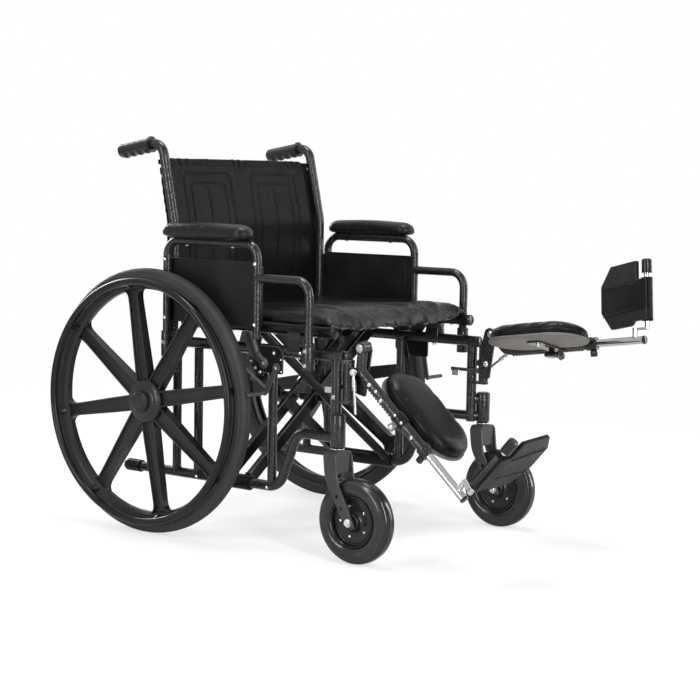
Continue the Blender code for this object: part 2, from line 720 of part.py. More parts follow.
def skirt_panel(word, side):
    """The clothing guard, screwed to the inner side of the arm's two uprights."""
    inner = ARM_X - ARM_TUBE_R - REST_GAP
    rear, front = ARM_REAR_Y + 0.006, ARM_FRONT_Y - 0.006
    low, high, cut = PANEL_BOTTOM_Z, PANEL_TOP_Z, 0.014
    corners = [(rear, low + cut), (rear, high - cut), (rear - cut, high), (front + cut, high),
               (front, high - cut), (front, low + cut), (front + cut, low), (rear - cut, low)]
    outer_face = [at(side, inner, y, z) for y, z in corners]
    return slab(word + "_skirt_panel", outer_face, (-side * PANEL_THICK, 0, 0), vinyl)


def close_sheet(bm, ones, others):
    """Faces over two grids of points and round their rim."""
    rows, columns = len(ones) - 1, len(ones[0]) - 1
    for grid in (ones, others):
        for row in range(rows):
            for column in range(columns):
                near, far = grid[row], grid[row + 1]
                bm.faces.new((near[column], near[column + 1], far[column + 1], far[column]))
    rim = ([(0, c) for c in range(columns + 1)] + [(r, columns) for r in range(1, rows + 1)]
           + [(rows, c) for c in range(columns - 1, -1, -1)] + [(r, 0) for r in range(rows - 1, 0, -1)])
    for (r0, c0), (r1, c1) in zip(rim, rim[1:] + rim[:1]):
        bm.faces.new((ones[r0][c0], others[r0][c0], others[r1][c1], ones[r1][c1]))


def seat():
    """The sling's padded seat, laid over the two seat rails and drawn down a little between them."""
    half = FRAME_X + SEAT_OVERHANG
    base = SEAT_RAIL_Z + FRAME_TUBE_R + REST_GAP
    columns, rows = 16, 10
    bm = bmesh.new()
    tops, unders = [], []
    for row in range(rows + 1):
        v = row / rows
        y = SEAT_REAR_Y + (SEAT_FRONT_Y - SEAT_REAR_Y) * v
        top_row, under_row = [], []
        for column in range(columns + 1):
            u = 2 * column / columns - 1
            x = half * u
            roll = max(0.0, (v - 0.86) / 0.14)
            edge = (1 - u ** 6) * (1 - (2 * v - 1) ** 8)
            sag = SEAT_CROWN * max(0.0, 1 - (u / 0.88) ** 2) * (1 - 0.4 * v)
            fold = 0.0016 * sin(16 * u + 3 * v) * sin(pi * min(1, v * 1.1)) * (1 - u ** 4)
            draw = 0.006 * roll * cos(9 * u) * (1 - u * u)
            top = base + SEAT_THICK * (0.45 + 0.55 * edge ** 0.5 if edge > 0 else 0.45) + fold - sag
            low = base - sag
            top_row.append(bm.verts.new((x, y + draw, top - 0.002 * roll)))
            under_row.append(bm.verts.new((x * 0.985, y + draw, low)))
        tops.append(top_row)
        unders.append(under_row)
    close_sheet(bm, tops, unders)
    return from_bmesh("seat_upholstery", bm, vinyl)


def back():
    """The back sling, hung behind the canes and bowed to the rear between them."""
    half = CANE_X + BACK_OVERHANG
    columns, rows = 12, 8
    bm = bmesh.new()
    fronts, rears = [], []
    for row in range(rows + 1):
        v = row / rows
        z = BACK_BOTTOM_Z + (BACK_TOP_Z - BACK_BOTTOM_Z) * v
        above = z - CANE_BEND_Z
        rise = max(0.0, above) if abs(above) > BEND_REACH else (above + BEND_REACH) ** 2 / (4 * BEND_REACH)
        cane = CANE_Y + rise * tan(CANE_LEAN)
        front_row, rear_row = [], []
        for column in range(columns + 1):
            u = 2 * column / columns - 1
            bow = BACK_SAG * max(0.0, 1 - (u / 0.9) ** 2) * (0.75 + 0.25 * sin(pi * v))
            y = cane + CANE_R / cos(CANE_LEAN if above > 0 else 0.0) + REST_GAP + bow
            thick = BACK_THICK * (0.5 + 0.5 * (1 - u ** 6)) * (0.6 + 0.4 * (1 - (2 * v - 1) ** 6))
            front_row.append(bm.verts.new((half * u, y, z)))
            rear_row.append(bm.verts.new((half * u, y + thick, z)))
        fronts.append(front_row)
        rears.append(rear_row)
    close_sheet(bm, fronts, rears)
    return from_bmesh("back_upholstery", bm, vinyl)


def brace(name, rail_side, ys, round_member):
    """One half of the scissor: a seat rail above, a sleeve round the other side's lower rail below."""
    top_x, low_x = rail_side * FRAME_X, -rail_side * LOWER_X
    front, rear = min(ys), max(ys)
    pieces = [
        rod("rail", (top_x, SEAT_RAIL_REAR_Y, SEAT_RAIL_Z), (top_x, SEAT_RAIL_FRONT_Y, SEAT_RAIL_Z),
            FRAME_TUBE_R),
        rod("sleeve", (low_x, front - 0.012, LOWER_RAIL_Z), (low_x, rear + 0.012, LOWER_RAIL_Z), SLEEVE_R),
    ]
    top = Vector((top_x, 0, SEAT_RAIL_Z))
    low = Vector((low_x, 0, LOWER_RAIL_Z))
    way = (top - low).normalized()
    for y, is_round in zip(ys, round_member):
        shift = Vector((0, y, 0))
        start, end = low + way * 0.006 + shift, top - way * 0.002 + shift
        if is_round:
            pieces.append(rod("member", start, end, STRUT_R))
        else:
            pieces.append(bar("member", start, end, MEMBER_WIDTH, MEMBER_DEPTH))
    middle = crossing()
    cuts = [
        rod("rail_bore", (low_x, front - 0.05, LOWER_RAIL_Z), (low_x, rear + 0.05, LOWER_RAIL_Z),
            LOWER_TUBE_R + TURN_GAP),
        rod("bolt_bore", (middle.x, front - 0.05, middle.z), (middle.x, rear + 0.05, middle.z),
            BOLT_R + SLIDE_GAP),
    ]
    return set_origin(joined(name, pieces, powder_coat, cuts), middle)


def crossing():
    share = LOWER_X / (LOWER_X + FRAME_X)
    return Vector((0, 0, LOWER_RAIL_Z + (SEAT_RAIL_Z - LOWER_RAIL_Z) * share))


def centre_bolt():
    """The long bolt through all four members where they cross."""
    middle = crossing()
    front = OUTER_MEMBER_YS[0] - STRUT_R - REST_GAP
    rear = OUTER_MEMBER_YS[1] + MEMBER_WIDTH / 2 + REST_GAP
    pieces = [
        rod("shank", (middle.x, front - 0.004, middle.z), (middle.x, rear + 0.004, middle.z), BOLT_R),
        rod("head", (middle.x, front - 0.007, middle.z), (middle.x, front, middle.z), 0.0095, 6),
        rod("nut", (middle.x, rear, middle.z), (middle.x, rear + 0.007, middle.z), 0.0095, 6),
    ]
    return set_origin(joined("centre_bolt", pieces, zinc), middle)


def rail_saddle(word, side):
    """The moulded block on the upper rail that the seat rail drops into when the chair is open."""
    width = 0.036
    front, rear = SADDLE_Y - width / 2, SADDLE_Y + width / 2
    body = block("body", at(side, FRAME_X - 0.015, front, UPPER_RAIL_Z + 0.002),
                 at(side, FRAME_X + 0.015, rear, SEAT_RAIL_Z - 0.002), edge=0.0015)
    cuts = []
    for z in (SEAT_RAIL_Z, UPPER_RAIL_Z):
        start, end = at(side, FRAME_X, front - 0.01, z), at(side, FRAME_X, rear + 0.01, z)
        cuts.append(rod("rail", start, end, FRAME_TUBE_R + REST_GAP))
    return joined(word + "_rail_saddle", [body], moulded, cuts)


def brake(word, side, open_angle):
    """The wheel lock: plate on the upper rail, hand lever, and the shoe that it presses on the tyre."""
    plate_x = FRAME_X + FRAME_TUBE_R + REST_GAP
    thick = 0.003
    plate = [
        block("plate", at(side, plate_x, BRAKE_SHOE_Y - 0.016, BRAKE_SHOE_Z - 0.014),
              at(side, plate_x + thick, BRAKE_LEVER_Y + 0.018, UPPER_RAIL_Z + 0.010), edge=0.001),
    ]
    for y, z in ((BRAKE_LEVER_Y, BRAKE_LEVER_Z), (BRAKE_SHOE_Y, BRAKE_SHOE_Z)):
        root, tip = at(side, plate_x + 0.001, y, z), at(side, plate_x + thick + 0.0065, y, z)
        plate.append(rod("pin", root, tip, 0.0040))
    joined(word + "_brake_plate", plate, powder_coat)
    inner = plate_x + thick + REST_GAP
    outer = inner + 0.004
    turn = radians(open_angle)

    lever_pin = at(side, 0, BRAKE_LEVER_Y, BRAKE_LEVER_Z)
    lever_turn = Matrix.Rotation(turn * 1.6, 3, "X")
    points = [Vector((0, 0.0, 0.0)), Vector((0, 0.026, 0.024)), Vector((0, 0.050, 0.056))]
    places = [lever_pin + lever_turn @ point for point in points]
    half = Vector((side * (inner + outer) / 2, 0, 0))
    lever = [
        rod("boss", lever_pin + Vector((side * inner, 0, 0)), lever_pin + Vector((side * outer, 0, 0)),
            0.0125),
        bar("neck", places[0] + half, places[1] + half, 0.014, 0.0036),
        bar("grip", places[1] - (places[2] - places[1]) * 0.08 + half, places[2] + half, 0.019, 0.0036),
    ]
    hole = rod("hole", at(side, inner - 0.01, BRAKE_LEVER_Y, BRAKE_LEVER_Z),
               at(side, outer + 0.01, BRAKE_LEVER_Y, BRAKE_LEVER_Z), 0.0040 + SLIDE_GAP, 8)
    pivot = at(side, inner, BRAKE_LEVER_Y, BRAKE_LEVER_Z)
    set_origin(joined(word + "_brake_lever", lever, moulded, [hole]), pivot)

    bar_z = BRAKE_SHOE_Z - SHOE_BAR_DROP
    tyre_r = corner_radius(WHEEL_R, WHEEL_STEPS)
    tyre_y = -sqrt(tyre_r ** 2 - (WHEEL_R - bar_z) ** 2) - SHOE_BAR_R - TURN_GAP
    shut = Vector((0, tyre_y - BRAKE_SHOE_Y, -SHOE_BAR_DROP))
    shoe_pin = at(side, 0, BRAKE_SHOE_Y, BRAKE_SHOE_Z)
    foot = shoe_pin + Matrix.Rotation(-turn, 3, "X") @ shut
    shoe = [
        rod("boss", shoe_pin + Vector((side * inner, 0, 0)), shoe_pin + Vector((side * outer, 0, 0)), 0.0105),
        bar("arm", shoe_pin + half, foot + half, 0.012, 0.0036),
        rod("shoe", foot + Vector((side * (inner + 0.001), 0, 0)),
            foot + Vector((side * (TRACK_X + 0.010), 0, 0)), SHOE_BAR_R),
    ]
    hole = rod("hole", at(side, inner - 0.01, BRAKE_SHOE_Y, BRAKE_SHOE_Z),
               at(side, outer + 0.01, BRAKE_SHOE_Y, BRAKE_SHOE_Z), 0.0040 + SLIDE_GAP, 8)
    pivot = at(side, inner, BRAKE_SHOE_Y, BRAKE_SHOE_Z)
    set_origin(joined(word + "_brake_shoe", shoe, powder_coat, [hole]), pivot)


def leg_place(side, angle):
    """From leg coordinates (across, along the tube, towards the pad) about the knee pivot to the world."""
    turn = radians(angle)
    along_tube = Vector((0, -cos(turn), sin(turn)))
    to_pad = Vector((0, sin(turn), cos(turn)))
    axes = Matrix((Vector((side, 0, 0)), along_tube, to_pad)).transposed().to_4x4()
    return Matrix.Translation((0, KNEE_Y, KNEE_Z)) @ axes


def hanger(word, side):
    """The part that hooks on the front post: upright, knee bracket and the clamp for the strut."""
    knee = at(side, LEG_X, KNEE_Y, KNEE_Z)
    cheek_in = LEG_X - 0.0125
    corners = [(HANGER_Y - 0.004, HANGER_BOTTOM_Z + 0.014), (HANGER_Y - 0.004, HANGER_TOP_Z - 0.004),
               (KNEE_Y + 0.014, KNEE_Z + 0.013), (KNEE_Y - 0.004, KNEE_Z + 0.015),
               (KNEE_Y - 0.014, KNEE_Z + 0.004), (KNEE_Y - 0.010, KNEE_Z - 0.030),
               (STRUT_PIVOT_Y - 0.006, HANGER_BOTTOM_Z + 0.008)]
    cheek = [at(side, cheek_in - 0.004, y, z) for y, z in corners]
    foot, head = at(side, FRAME_X, HANGER_Y, HANGER_BOTTOM_Z), at(side, FRAME_X, HANGER_Y, HANGER_TOP_Z)
    rise = Vector((0, 0, 0.045))
    pieces = [
        slab("cheek", cheek, (side * 0.004, 0, 0)),
        rod("upright", foot, head, HANGER_R),
        rod("knee_pin", at(side, cheek_in - 0.006, KNEE_Y, KNEE_Z), knee + Vector((side * 0.008, 0, 0)),
            BOLT_R),
        rod("bridge", at(side, cheek_in - 0.002, HANGER_Y, HANGER_BOTTOM_Z) + rise, foot + rise, 0.008, 8),
    ]
    return set_origin(joined(word + "_leg_hanger", pieces, powder_coat), foot)


def hanger_latch(word, side):
    """The lever behind the hanger that frees it to swing away."""
    inner_x = FRAME_X - HANGER_R - 0.0030
    z = 0.373
    eye = at(side, inner_x - 0.002, HANGER_Y + 0.006, z)
    pieces = [
        block("lever", at(side, inner_x - 0.004, HANGER_Y + 0.008, z - 0.004),
              at(side, inner_x, HANGER_Y + 0.082, z + 0.004), edge=0.001),
        rod("eye", eye - Vector((0, 0, 0.006)), eye + Vector((0, 0, 0.006)), 0.0062, 16),
        block("thumb", at(side, inner_x - 0.0045, HANGER_Y + 0.058, z - 0.016),
              at(side, inner_x + 0.0005, HANGER_Y + 0.078, z - 0.002)),
    ]
    return set_origin(joined(word + "_hanger_latch", pieces, powder_coat), eye)


def leg_rest(word, side, leg_angle, twist, plate_angle, calf_turn):
    """Everything that rises with the leg: tube, extension, calf pad and footplate."""
    place = leg_place(side, leg_angle)
    tube_n = -LEG_TUBE_OFFSET

    def leg(x, t, n):
        return place @ Vector((x, t, n))

    corner, end = leg(LEG_X, LEG_TUBE_START, tube_n), leg(LEG_X, LEG_TUBE_END, tube_n)
    bent = rounded([leg(LEG_X, 0, 0), corner, end], 0.02)
    pieces = [
        tube("upper", bent, LEG_TUBE_R),
        rod("knee", leg(LEG_X - 0.0105, 0, 0), leg(LEG_X + 0.011, 0, 0), 0.0135),
        rod("clamp", leg(LEG_X, LEG_TUBE_END - 0.018, tube_n), leg(LEG_X, LEG_TUBE_END + 0.003, tube_n),
            LEG_TUBE_R + 0.004),
        rod("knob", leg(LEG_X, LEG_TUBE_END - 0.007, tube_n), leg(LEG_X, LEG_TUBE_END - 0.007, tube_n - 0.030),
            0.0070),
        rod("strut_ear", leg(LEG_X + 0.004, *STRUT_EYE), leg(LEG_X + STRUT_OUT + 0.006, *STRUT_EYE), BOLT_R),
        bar("strut_web", leg(LEG_X + 0.002, 0.0, -0.006), leg(LEG_X + 0.002, *STRUT_EYE), 0.010, 0.006),
    ]
    cuts = [
        rod("knee_bore", leg(LEG_X - 0.05, 0, 0), leg(LEG_X + 0.05, 0, 0), 0.0050 + SLIDE_GAP, 8),
        rod("slide_bore", leg(LEG_X, EXTENSION_START - PUSH_IN, tube_n), leg(LEG_X, LEG_TUBE_END + 0.02, tube_n),
            EXTENSION_R + SLIDE_GAP),
    ]
    set_origin(joined(word + "_leg_tube", pieces, powder_coat, cuts), leg(LEG_X, 0, 0))

    swivel = Matrix.Translation((LEG_X, 0, tube_n)) @ Matrix.Rotation(radians(twist), 4, "Y")
    lower = place @ swivel @ Matrix.Translation((-LEG_X, 0, -tube_n))

    def foot(x, t, n):
        return lower @ Vector((x, t, n))

    pieces = [
        rod("slide", foot(LEG_X, EXTENSION_START, tube_n), foot(LEG_X, EXTENSION_END, tube_n), EXTENSION_R),
        rod("tip", foot(LEG_X, EXTENSION_END - 0.004, tube_n), foot(LEG_X, EXTENSION_END + 0.006, tube_n),
            EXTENSION_R + 0.001),
        rod("stem", foot(LEG_X, STEM_T, tube_n), foot(LEG_X + 0.002, STEM_T, -0.011), 0.0065),
        rod("foot", foot(LEG_X + 0.001, STEM_T - 0.004, -0.012), foot(PLATE_HINGE_X, PLATE_HINGE_T, -0.012),
            0.0060),
        rod("hinge_pin", foot(PLATE_HINGE_X, PLATE_HINGE_T, -0.017),
            foot(PLATE_HINGE_X, PLATE_HINGE_T, PLATE_HIGH), HINGE_PIN_R),
        rod("cap", foot(PLATE_HINGE_X, PLATE_HINGE_T, PLATE_HIGH - 0.031),
            foot(PLATE_HINGE_X, PLATE_HINGE_T, PLATE_HIGH + 0.001), HINGE_PIN_R * 2),
    ]
    set_origin(joined(word + "_leg_extension", pieces, chrome), foot(LEG_X, LEG_TUBE_END, tube_n))

    hinge = lower @ Matrix.Translation((PLATE_HINGE_X, PLATE_HINGE_T, 0))
    swing = hinge @ Matrix.Rotation(radians(plate_angle), 4, "Z")
    inner, outer, step, cut = -PLATE_INNER, PLATE_OUTER, -0.024, PLATE_CHAMFER
    low, high = BARREL_LOW + 0.002, BARREL_HIGH - 0.002
    points = [(outer, low), (outer, high), (step, high), (step, PLATE_HIGH), (inner + cut, PLATE_HIGH),
              (inner, PLATE_HIGH - cut), (inner, PLATE_LOW + cut), (inner + cut, PLATE_LOW),
              (2 * step, PLATE_LOW), (1.6 * step, low)]
    pieces = [
        slab("plate", [(w, 0.004, n) for w, n in points], (0, PLATE_THICK, 0), turn=swing),
        rod("barrel", swing @ Vector((0, 0, BARREL_LOW)), swing @ Vector((0, 0, BARREL_HIGH)), BARREL_R),
    ]
    below, above = swing @ Vector((0, 0, -0.05)), swing @ Vector((0, 0, 0.16))
    cuts = [rod("pin_bore", below, above, HINGE_PIN_R + SLIDE_GAP)]
    set_origin(joined(word + "_footplate", pieces, moulded, cuts), swing @ Vector((0, 0, 0)))

    centre_n = tube_n + CALF_HEIGHT
    pad_low = centre_n - CALF_THICK / 2
    swung = Matrix.Translation((LEG_X, 0, tube_n)) @ Matrix.Rotation(radians(calf_turn), 4, "Y")
    calf = place @ swung @ Matrix.Translation((-LEG_X, 0, -tube_n))
    turn = Matrix(((0, -1, 0, 0), (1, 0, 0, 0), (0, 0, 1, 0), (0, 0, 0, 1)))
    pad_place = calf @ Matrix.Translation((CALF_X, CALF_CENTRE, pad_low)) @ turn
    levels = ((0.003, 0.0), (0.0015, 0.007), (0.004, 0.009), (0.0, 0.014), (0.0, CALF_THICK * 0.66),
              (0.007, CALF_THICK * 0.90), (0.022, CALF_THICK))
    pad = cushion(word + "_calf_pad", CALF_LENGTH / 2, CALF_WIDTH / 2, levels, 10, pad_place, vinyl)
    set_origin(pad, calf @ Vector((CALF_X, CALF_CENTRE, pad_low)))
    base_n = pad_low - REST_GAP
    pieces = [
        block("strap", (CALF_X - 0.022, CALF_CENTRE - 0.018, base_n - 0.004),
              (LEG_X - 0.004, CALF_CENTRE + 0.018, base_n), turn=calf),
        rod("collar", leg(LEG_X, CALF_CENTRE - 0.014, tube_n), leg(LEG_X, CALF_CENTRE + 0.014, tube_n),
            LEG_TUBE_R + 0.0040),
        block("knob", (CALF_X - 0.012, CALF_CENTRE - 0.012, base_n - 0.022),
              (CALF_X + 0.012, CALF_CENTRE + 0.012, base_n - 0.002), turn=calf, edge=0.004),
    ]
    cuts = [rod("bore", leg(LEG_X, CALF_CENTRE - 0.05, tube_n), leg(LEG_X, CALF_CENTRE + 0.05, tube_n),
                LEG_TUBE_R + TURN_GAP)]
    set_origin(joined(word + "_calf_bracket", pieces, powder_coat, cuts), leg(LEG_X, CALF_CENTRE, tube_n))

    eye = leg(LEG_X + STRUT_OUT, *STRUT_EYE)
    clamp = Vector((eye.x, STRUT_PIVOT_Y, STRUT_PIVOT_Z))
    way = (clamp - eye).normalized()
    mid = eye + Vector((side * 0.0038, 0, 0))
    pieces = [
        rod("eye", eye + Vector((side * 0.0018, 0, 0)), eye + Vector((side * 0.0060, 0, 0)), 0.0080),
        rod("rod", mid, mid + way * STRUT_LENGTH, 0.0032),
    ]
    hole = rod("hole", eye - Vector((0.02, 0, 0)), eye + Vector((0.02, 0, 0)), 0.0050 + SLIDE_GAP, 8)
    set_origin(joined(word + "_leg_strut", pieces, chrome, [hole]), eye)


def centre_over_origin():
    """Every piece moved so that the box of the whole chair is centred fore and aft."""
    bpy.context.view_layer.update()
    graph = bpy.context.evaluated_depsgraph_get()
    lows, highs = [], []
    for thing in parts.objects:
        mesh = thing.evaluated_get(graph).to_mesh()
        ys = [(thing.matrix_world @ vertex.co).y for vertex in mesh.vertices]
        lows.append(min(ys))
        highs.append(max(ys))
    shift = -(min(lows) + max(highs)) / 2
    base = bpy.data.objects.new("chair_origin", None)
    parts.objects.link(base)
    for thing in list(parts.objects):
        if thing is not base:
            thing.parent = base
    base.location = (0, shift, 0)
    print("rear axle at y", round(shift, 5))


for word, side in SIDES:
    near = side < 0
    side_frame(word, side)
    push_grip(word, side)
    step_tip(word, side)
    rear_wheel(word, side)
    rear_tyre(word, side)
    handrim(word, side)
    rear_axle(word, side)
    hub_cap(word, side)
    caster_fork(word, side)
    caster_wheel(word, side)
    caster_tyre(word, side)
    caster_axle(word, side)
    arm_frame(word, side)
    arm_pad(word, side)
    skirt_panel(word, side)
    rail_saddle(word, side)
    brake(word, side, 0.0 if near else degrees(asin(OPEN_BRAKE_GAP / SHOE_BAR_DROP)))
    hanger(word, side)
    hanger_latch(word, side)
    if near:
        leg_rest(word, side, NEAR_LEG_ANGLE, 0.0, NEAR_PLATE_ANGLE, 0.0)
    else:
        leg_rest(word, side, FAR_LEG_ANGLE, FAR_TWIST, FAR_PLATE_ANGLE, FAR_CALF_TURN)
seat()
back()
brace("right_rail_brace", -1, OUTER_MEMBER_YS, (True, False))
brace("left_rail_brace", 1, INNER_MEMBER_YS, (False, False))
centre_bolt()
centre_over_origin()
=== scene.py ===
"""Bariatric folding wheelchair: fine shapes, finishes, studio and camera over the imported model.

Metres. A side is -1 for the occupant's right, the near side of the picture, and +1 for the left.
Pieces are worked out from the rear axle and moved by AXLE_Y into the model's frame.
"""

from math import asin, cos, degrees, exp, hypot, pi, radians, sin, sqrt, tan

import bmesh
import bpy
from mathutils import Matrix, Vector, noise


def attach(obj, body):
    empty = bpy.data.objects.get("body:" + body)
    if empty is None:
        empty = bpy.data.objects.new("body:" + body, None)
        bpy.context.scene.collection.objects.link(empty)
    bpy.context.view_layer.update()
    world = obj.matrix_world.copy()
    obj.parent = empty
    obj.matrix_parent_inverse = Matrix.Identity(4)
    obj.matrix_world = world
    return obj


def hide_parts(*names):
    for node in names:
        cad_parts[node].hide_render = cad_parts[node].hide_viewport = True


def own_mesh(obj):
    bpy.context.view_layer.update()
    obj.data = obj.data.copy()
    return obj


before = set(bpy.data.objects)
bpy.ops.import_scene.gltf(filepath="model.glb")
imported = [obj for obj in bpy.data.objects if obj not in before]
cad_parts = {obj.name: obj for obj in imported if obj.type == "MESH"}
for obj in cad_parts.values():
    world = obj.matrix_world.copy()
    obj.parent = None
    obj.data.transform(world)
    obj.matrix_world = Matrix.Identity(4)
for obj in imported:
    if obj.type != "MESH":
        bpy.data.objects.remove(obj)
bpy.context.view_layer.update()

scene = bpy.context.scene
UP, BACK = Vector((0, 0, 1)), Vector((0, 1, 0))
AXLE_Y = 0.33097
GAP = 0.0003

# Side frames
FRAME_X, LOWER_X = 0.262, 0.242
FRAME_TUBE_R, LOWER_TUBE_R, POST_R = 0.0125, 0.0115, 0.0105
UPPER_RAIL_Z, LOWER_RAIL_Z = 0.441, 0.131
CANE_X, CANE_R, CANE_Y = 0.268, 0.0113, -0.018
CANE_BEND_Z, CANE_LEAN, CANE_TOP_Z, CANE_BEND_R = 0.715, 0.218, 0.898, 0.12
BEND_REACH = CANE_BEND_R * tan(CANE_LEAN / 2)
HANDLE_DROP, HANDLE_LENGTH = 0.17, 0.128
FRONT_POST_Y, FRONT_POST_BOTTOM_Z = -0.495, 0.25
REAR_POST_Y, SECOND_POST_Y, BRACE_POST_Y = -0.008, -0.075, -0.299
STEP_TUBE_END_Y, STEP_TIP_LENGTH = 0.15, 0.048
SWEEP_TOP_Y, SWEEP_Z = -0.375, 0.262

# Rear wheels
TRACK_X, WHEEL_R, TYRE_DEPTH, TYRE_WIDTH = 0.331, 0.305, 0.031, 0.034
RIM_DEPTH, RIM_WIDTH, SPOKES, SPOKE_PHASE = 0.017, 0.028, 8, -0.224
HUB_OUT, HUB_IN, AXLE_R = 0.022, -0.03, 0.008
AXLE_SLEEVE_IN, AXLE_SLEEVE_OUT = 0.014, 0.034
HANDRIM_R, HANDRIM_TUBE_R, HANDRIM_OUT = 0.2755, 0.0085, 0.036

# Casters
CASTER_X, STEM_Y, CASTER_Y, CASTER_R = 0.282, -0.516, -0.57, 0.0925
CASTER_WIDTH, CASTER_RIM_R = 0.044, 0.056
HOUSING_R, HOUSING_BOTTOM_Z, HOUSING_TOP_Z = 0.0165, 0.247, 0.316
FORK_PLATE = 0.005

# Arms
ARM_X, ARM_TUBE_R, ARM_TOP_Z = 0.296, 0.0098, 0.675
ARM_REAR_Y, ARM_FRONT_Y, ARM_STEP_Y, ARM_STEP_Z = -0.024, -0.295, -0.443, 0.6
SOCKET_R, SOCKET_BOTTOM_Z, SOCKET_TOP_Z = 0.0135, 0.408, 0.46
PAD_LENGTH, PAD_X, PAD_REAR_Y, PAD_WIDTH = 0.26, 0.305, -0.0235, 0.058
PANEL_TOP_Z, PANEL_BOTTOM_Z, PANEL_THICK = 0.635, 0.489, 0.003

# Seat, back and braces
SEAT_RAIL_Z, SEAT_RAIL_FRONT_Y, SEAT_RAIL_REAR_Y = 0.49, -0.486, -0.048
SEAT_FRONT_Y, SEAT_REAR_Y, SEAT_THICK, SEAT_OVERHANG = -0.48, -0.052, 0.028, 0.01
BACK_BOTTOM_Z, BACK_TOP_Z, BACK_THICK, BACK_SAG, BACK_OVERHANG = 0.484, 0.869, 0.014, 0.006, 0.012
SADDLE_Y = -0.385
OUTER_MEMBER_YS, INNER_MEMBER_YS = (-0.268, -0.115), (-0.225, -0.16)
MEMBER_WIDTH, MEMBER_DEPTH, STRUT_R, SLEEVE_R = 0.014, 0.03, 0.0105, 0.0175

# Leg rests
HANGER_Y, HANGER_R, HANGER_BOTTOM_Z, HANGER_TOP_Z = -0.528, 0.0115, 0.347, 0.428
LEG_X, KNEE_Y, KNEE_Z = 0.256, -0.56, 0.462
LEG_TUBE_R, LEG_TUBE_OFFSET, LEG_TUBE_START, LEG_TUBE_END = 0.0115, 0.0405, 0.03, 0.272
EXTENSION_R, EXTENSION_START, EXTENSION_END = 0.009, 0.19, 0.394
LEG_ANGLES = {"right": -41.7, "left": 7.9}
TWISTS = {"right": 0.0, "left": 9.0}
PLATE_ANGLES = {"right": 3.0, "left": 118.0}
CALF_TURNS = {"right": 0.0, "left": 15.0}
CALF_X, CALF_LENGTH, CALF_WIDTH, CALF_THICK = 0.168, 0.246, 0.14, 0.036
CALF_CENTRE, CALF_HEIGHT = 0.1735, 0.0085
PLATE_HINGE_X, PLATE_HINGE_T, STEM_T, HINGE_PIN_R = 0.266, 0.398, 0.372, 0.006
PLATE_LOW, PLATE_HIGH, PLATE_INNER, PLATE_OUTER = -0.004, 0.142, 0.172, 0.016
PLATE_THICK, PLATE_CHAMFER = 0.011, 0.042
BARREL_LOW, BARREL_HIGH, BARREL_R = 0.003, 0.101, 0.013
STRUT_EYE, STRUT_OUT, STRUT_LENGTH = (0.0276, -0.044), 0.0175, 0.093
STRUT_PIVOT_Y, STRUT_PIVOT_Z = -0.553, 0.391

# Brakes
BRAKE_LEVER_Y, BRAKE_LEVER_Z, BRAKE_SHOE_Y, BRAKE_SHOE_Z = -0.303, 0.412, -0.34, 0.404
SHOE_BAR_DROP, SHOE_BAR_R, OPEN_BRAKE_GAP = 0.058, 0.0045, 0.036
BRAKE_ANGLES = {"right": 0.0, "left": degrees(asin(OPEN_BRAKE_GAP / SHOE_BAR_DROP))}


# Node helpers


def wire(tree, socket, value):
    if isinstance(value, bpy.types.NodeSocket):
        tree.links.new(value, socket)
    else:
        socket.default_value = value


def node(tree, kind, inputs=(), **settings):
    made = tree.nodes.new("ShaderNode" + kind)
    for name, value in settings.items():
        setattr(made, name, value)
    for key, value in dict(inputs).items():
        wire(tree, made.inputs[key], value)
    return made


def mixed(tree, share, first, second):
    return node(tree, "Mix", {0: share, 6: first, 7: second}, data_type="RGBA").outputs[2]


def maths(tree, operation, first, second=0.0):
    return node(tree, "Math", {0: first, 1: second}, operation=operation).outputs[0]


def times(tree, first, second):
    return maths(tree, "MULTIPLY", first, second)


def spread(tree, value, low, high, start=0.0, end=1.0):
    """The value between low and high, spread smoothly from start to end."""
    inputs = {"Value": value, "From Min": low, "From Max": high, "To Min": start, "To Max": end}
    return node(tree, "MapRange", inputs, interpolation_type="SMOOTHSTEP").outputs["Result"]


def clouds(tree, place, scale, detail, output="Fac", **more):
    return node(tree, "TexNoise",
                {"Vector": place, "Scale": scale, "Detail": detail, **more}).outputs[output]


def cell_edges(tree, place, scale):
    inputs = {"Vector": place, "Scale": scale}
    return node(tree, "TexVoronoi", inputs, feature="DISTANCE_TO_EDGE").outputs["Distance"]


def marked(tree, name):
    """A mark that the faces or points of a mesh carry."""
    return node(tree, "Attribute", attribute_name=name).outputs["Fac"]


def effect(name, inputs, outputs):
    """Makes a shared node group, with number inputs and outputs, of the function that fills it."""
    def filled(build):
        tree = bpy.data.node_groups.new(name, "ShaderNodeTree")
        for label, value in inputs.items():
            made = tree.interface.new_socket(label, in_out="INPUT", socket_type="NodeSocketFloat")
            made.default_value = value
        for label in outputs:
            tree.interface.new_socket(label, in_out="OUTPUT", socket_type="NodeSocketFloat")
        source = tree.nodes.new("NodeGroupInput")
        sink = tree.nodes.new("NodeGroupOutput")
        for label, value in build(tree, source.outputs).items():
            tree.links.new(value, sink.inputs[label])
        return tree
    return filled


def placed(tree, group, **inputs):
    made = tree.nodes.new("ShaderNodeGroup")
    made.node_tree = group
    for label, value in inputs.items():
        wire(tree, made.inputs[label], value)
    return made.outputs


def object_place(tree):
    return node(tree, "TexCoord").outputs["Object"]


@effect("fine_grain", {"Scale": 900.0}, ("Height", "Tone"))
def grain(tree, given):
    """Fine surface grain and the slow change of tone that comes with it."""
    place = object_place(tree)
    fine = clouds(tree, place, given["Scale"], 4.0, Roughness=0.6)
    slow = clouds(tree, place, 9.0, 3.0, Roughness=0.55)
    return {"Height": fine, "Tone": spread(tree, slow, 0.3, 0.7)}


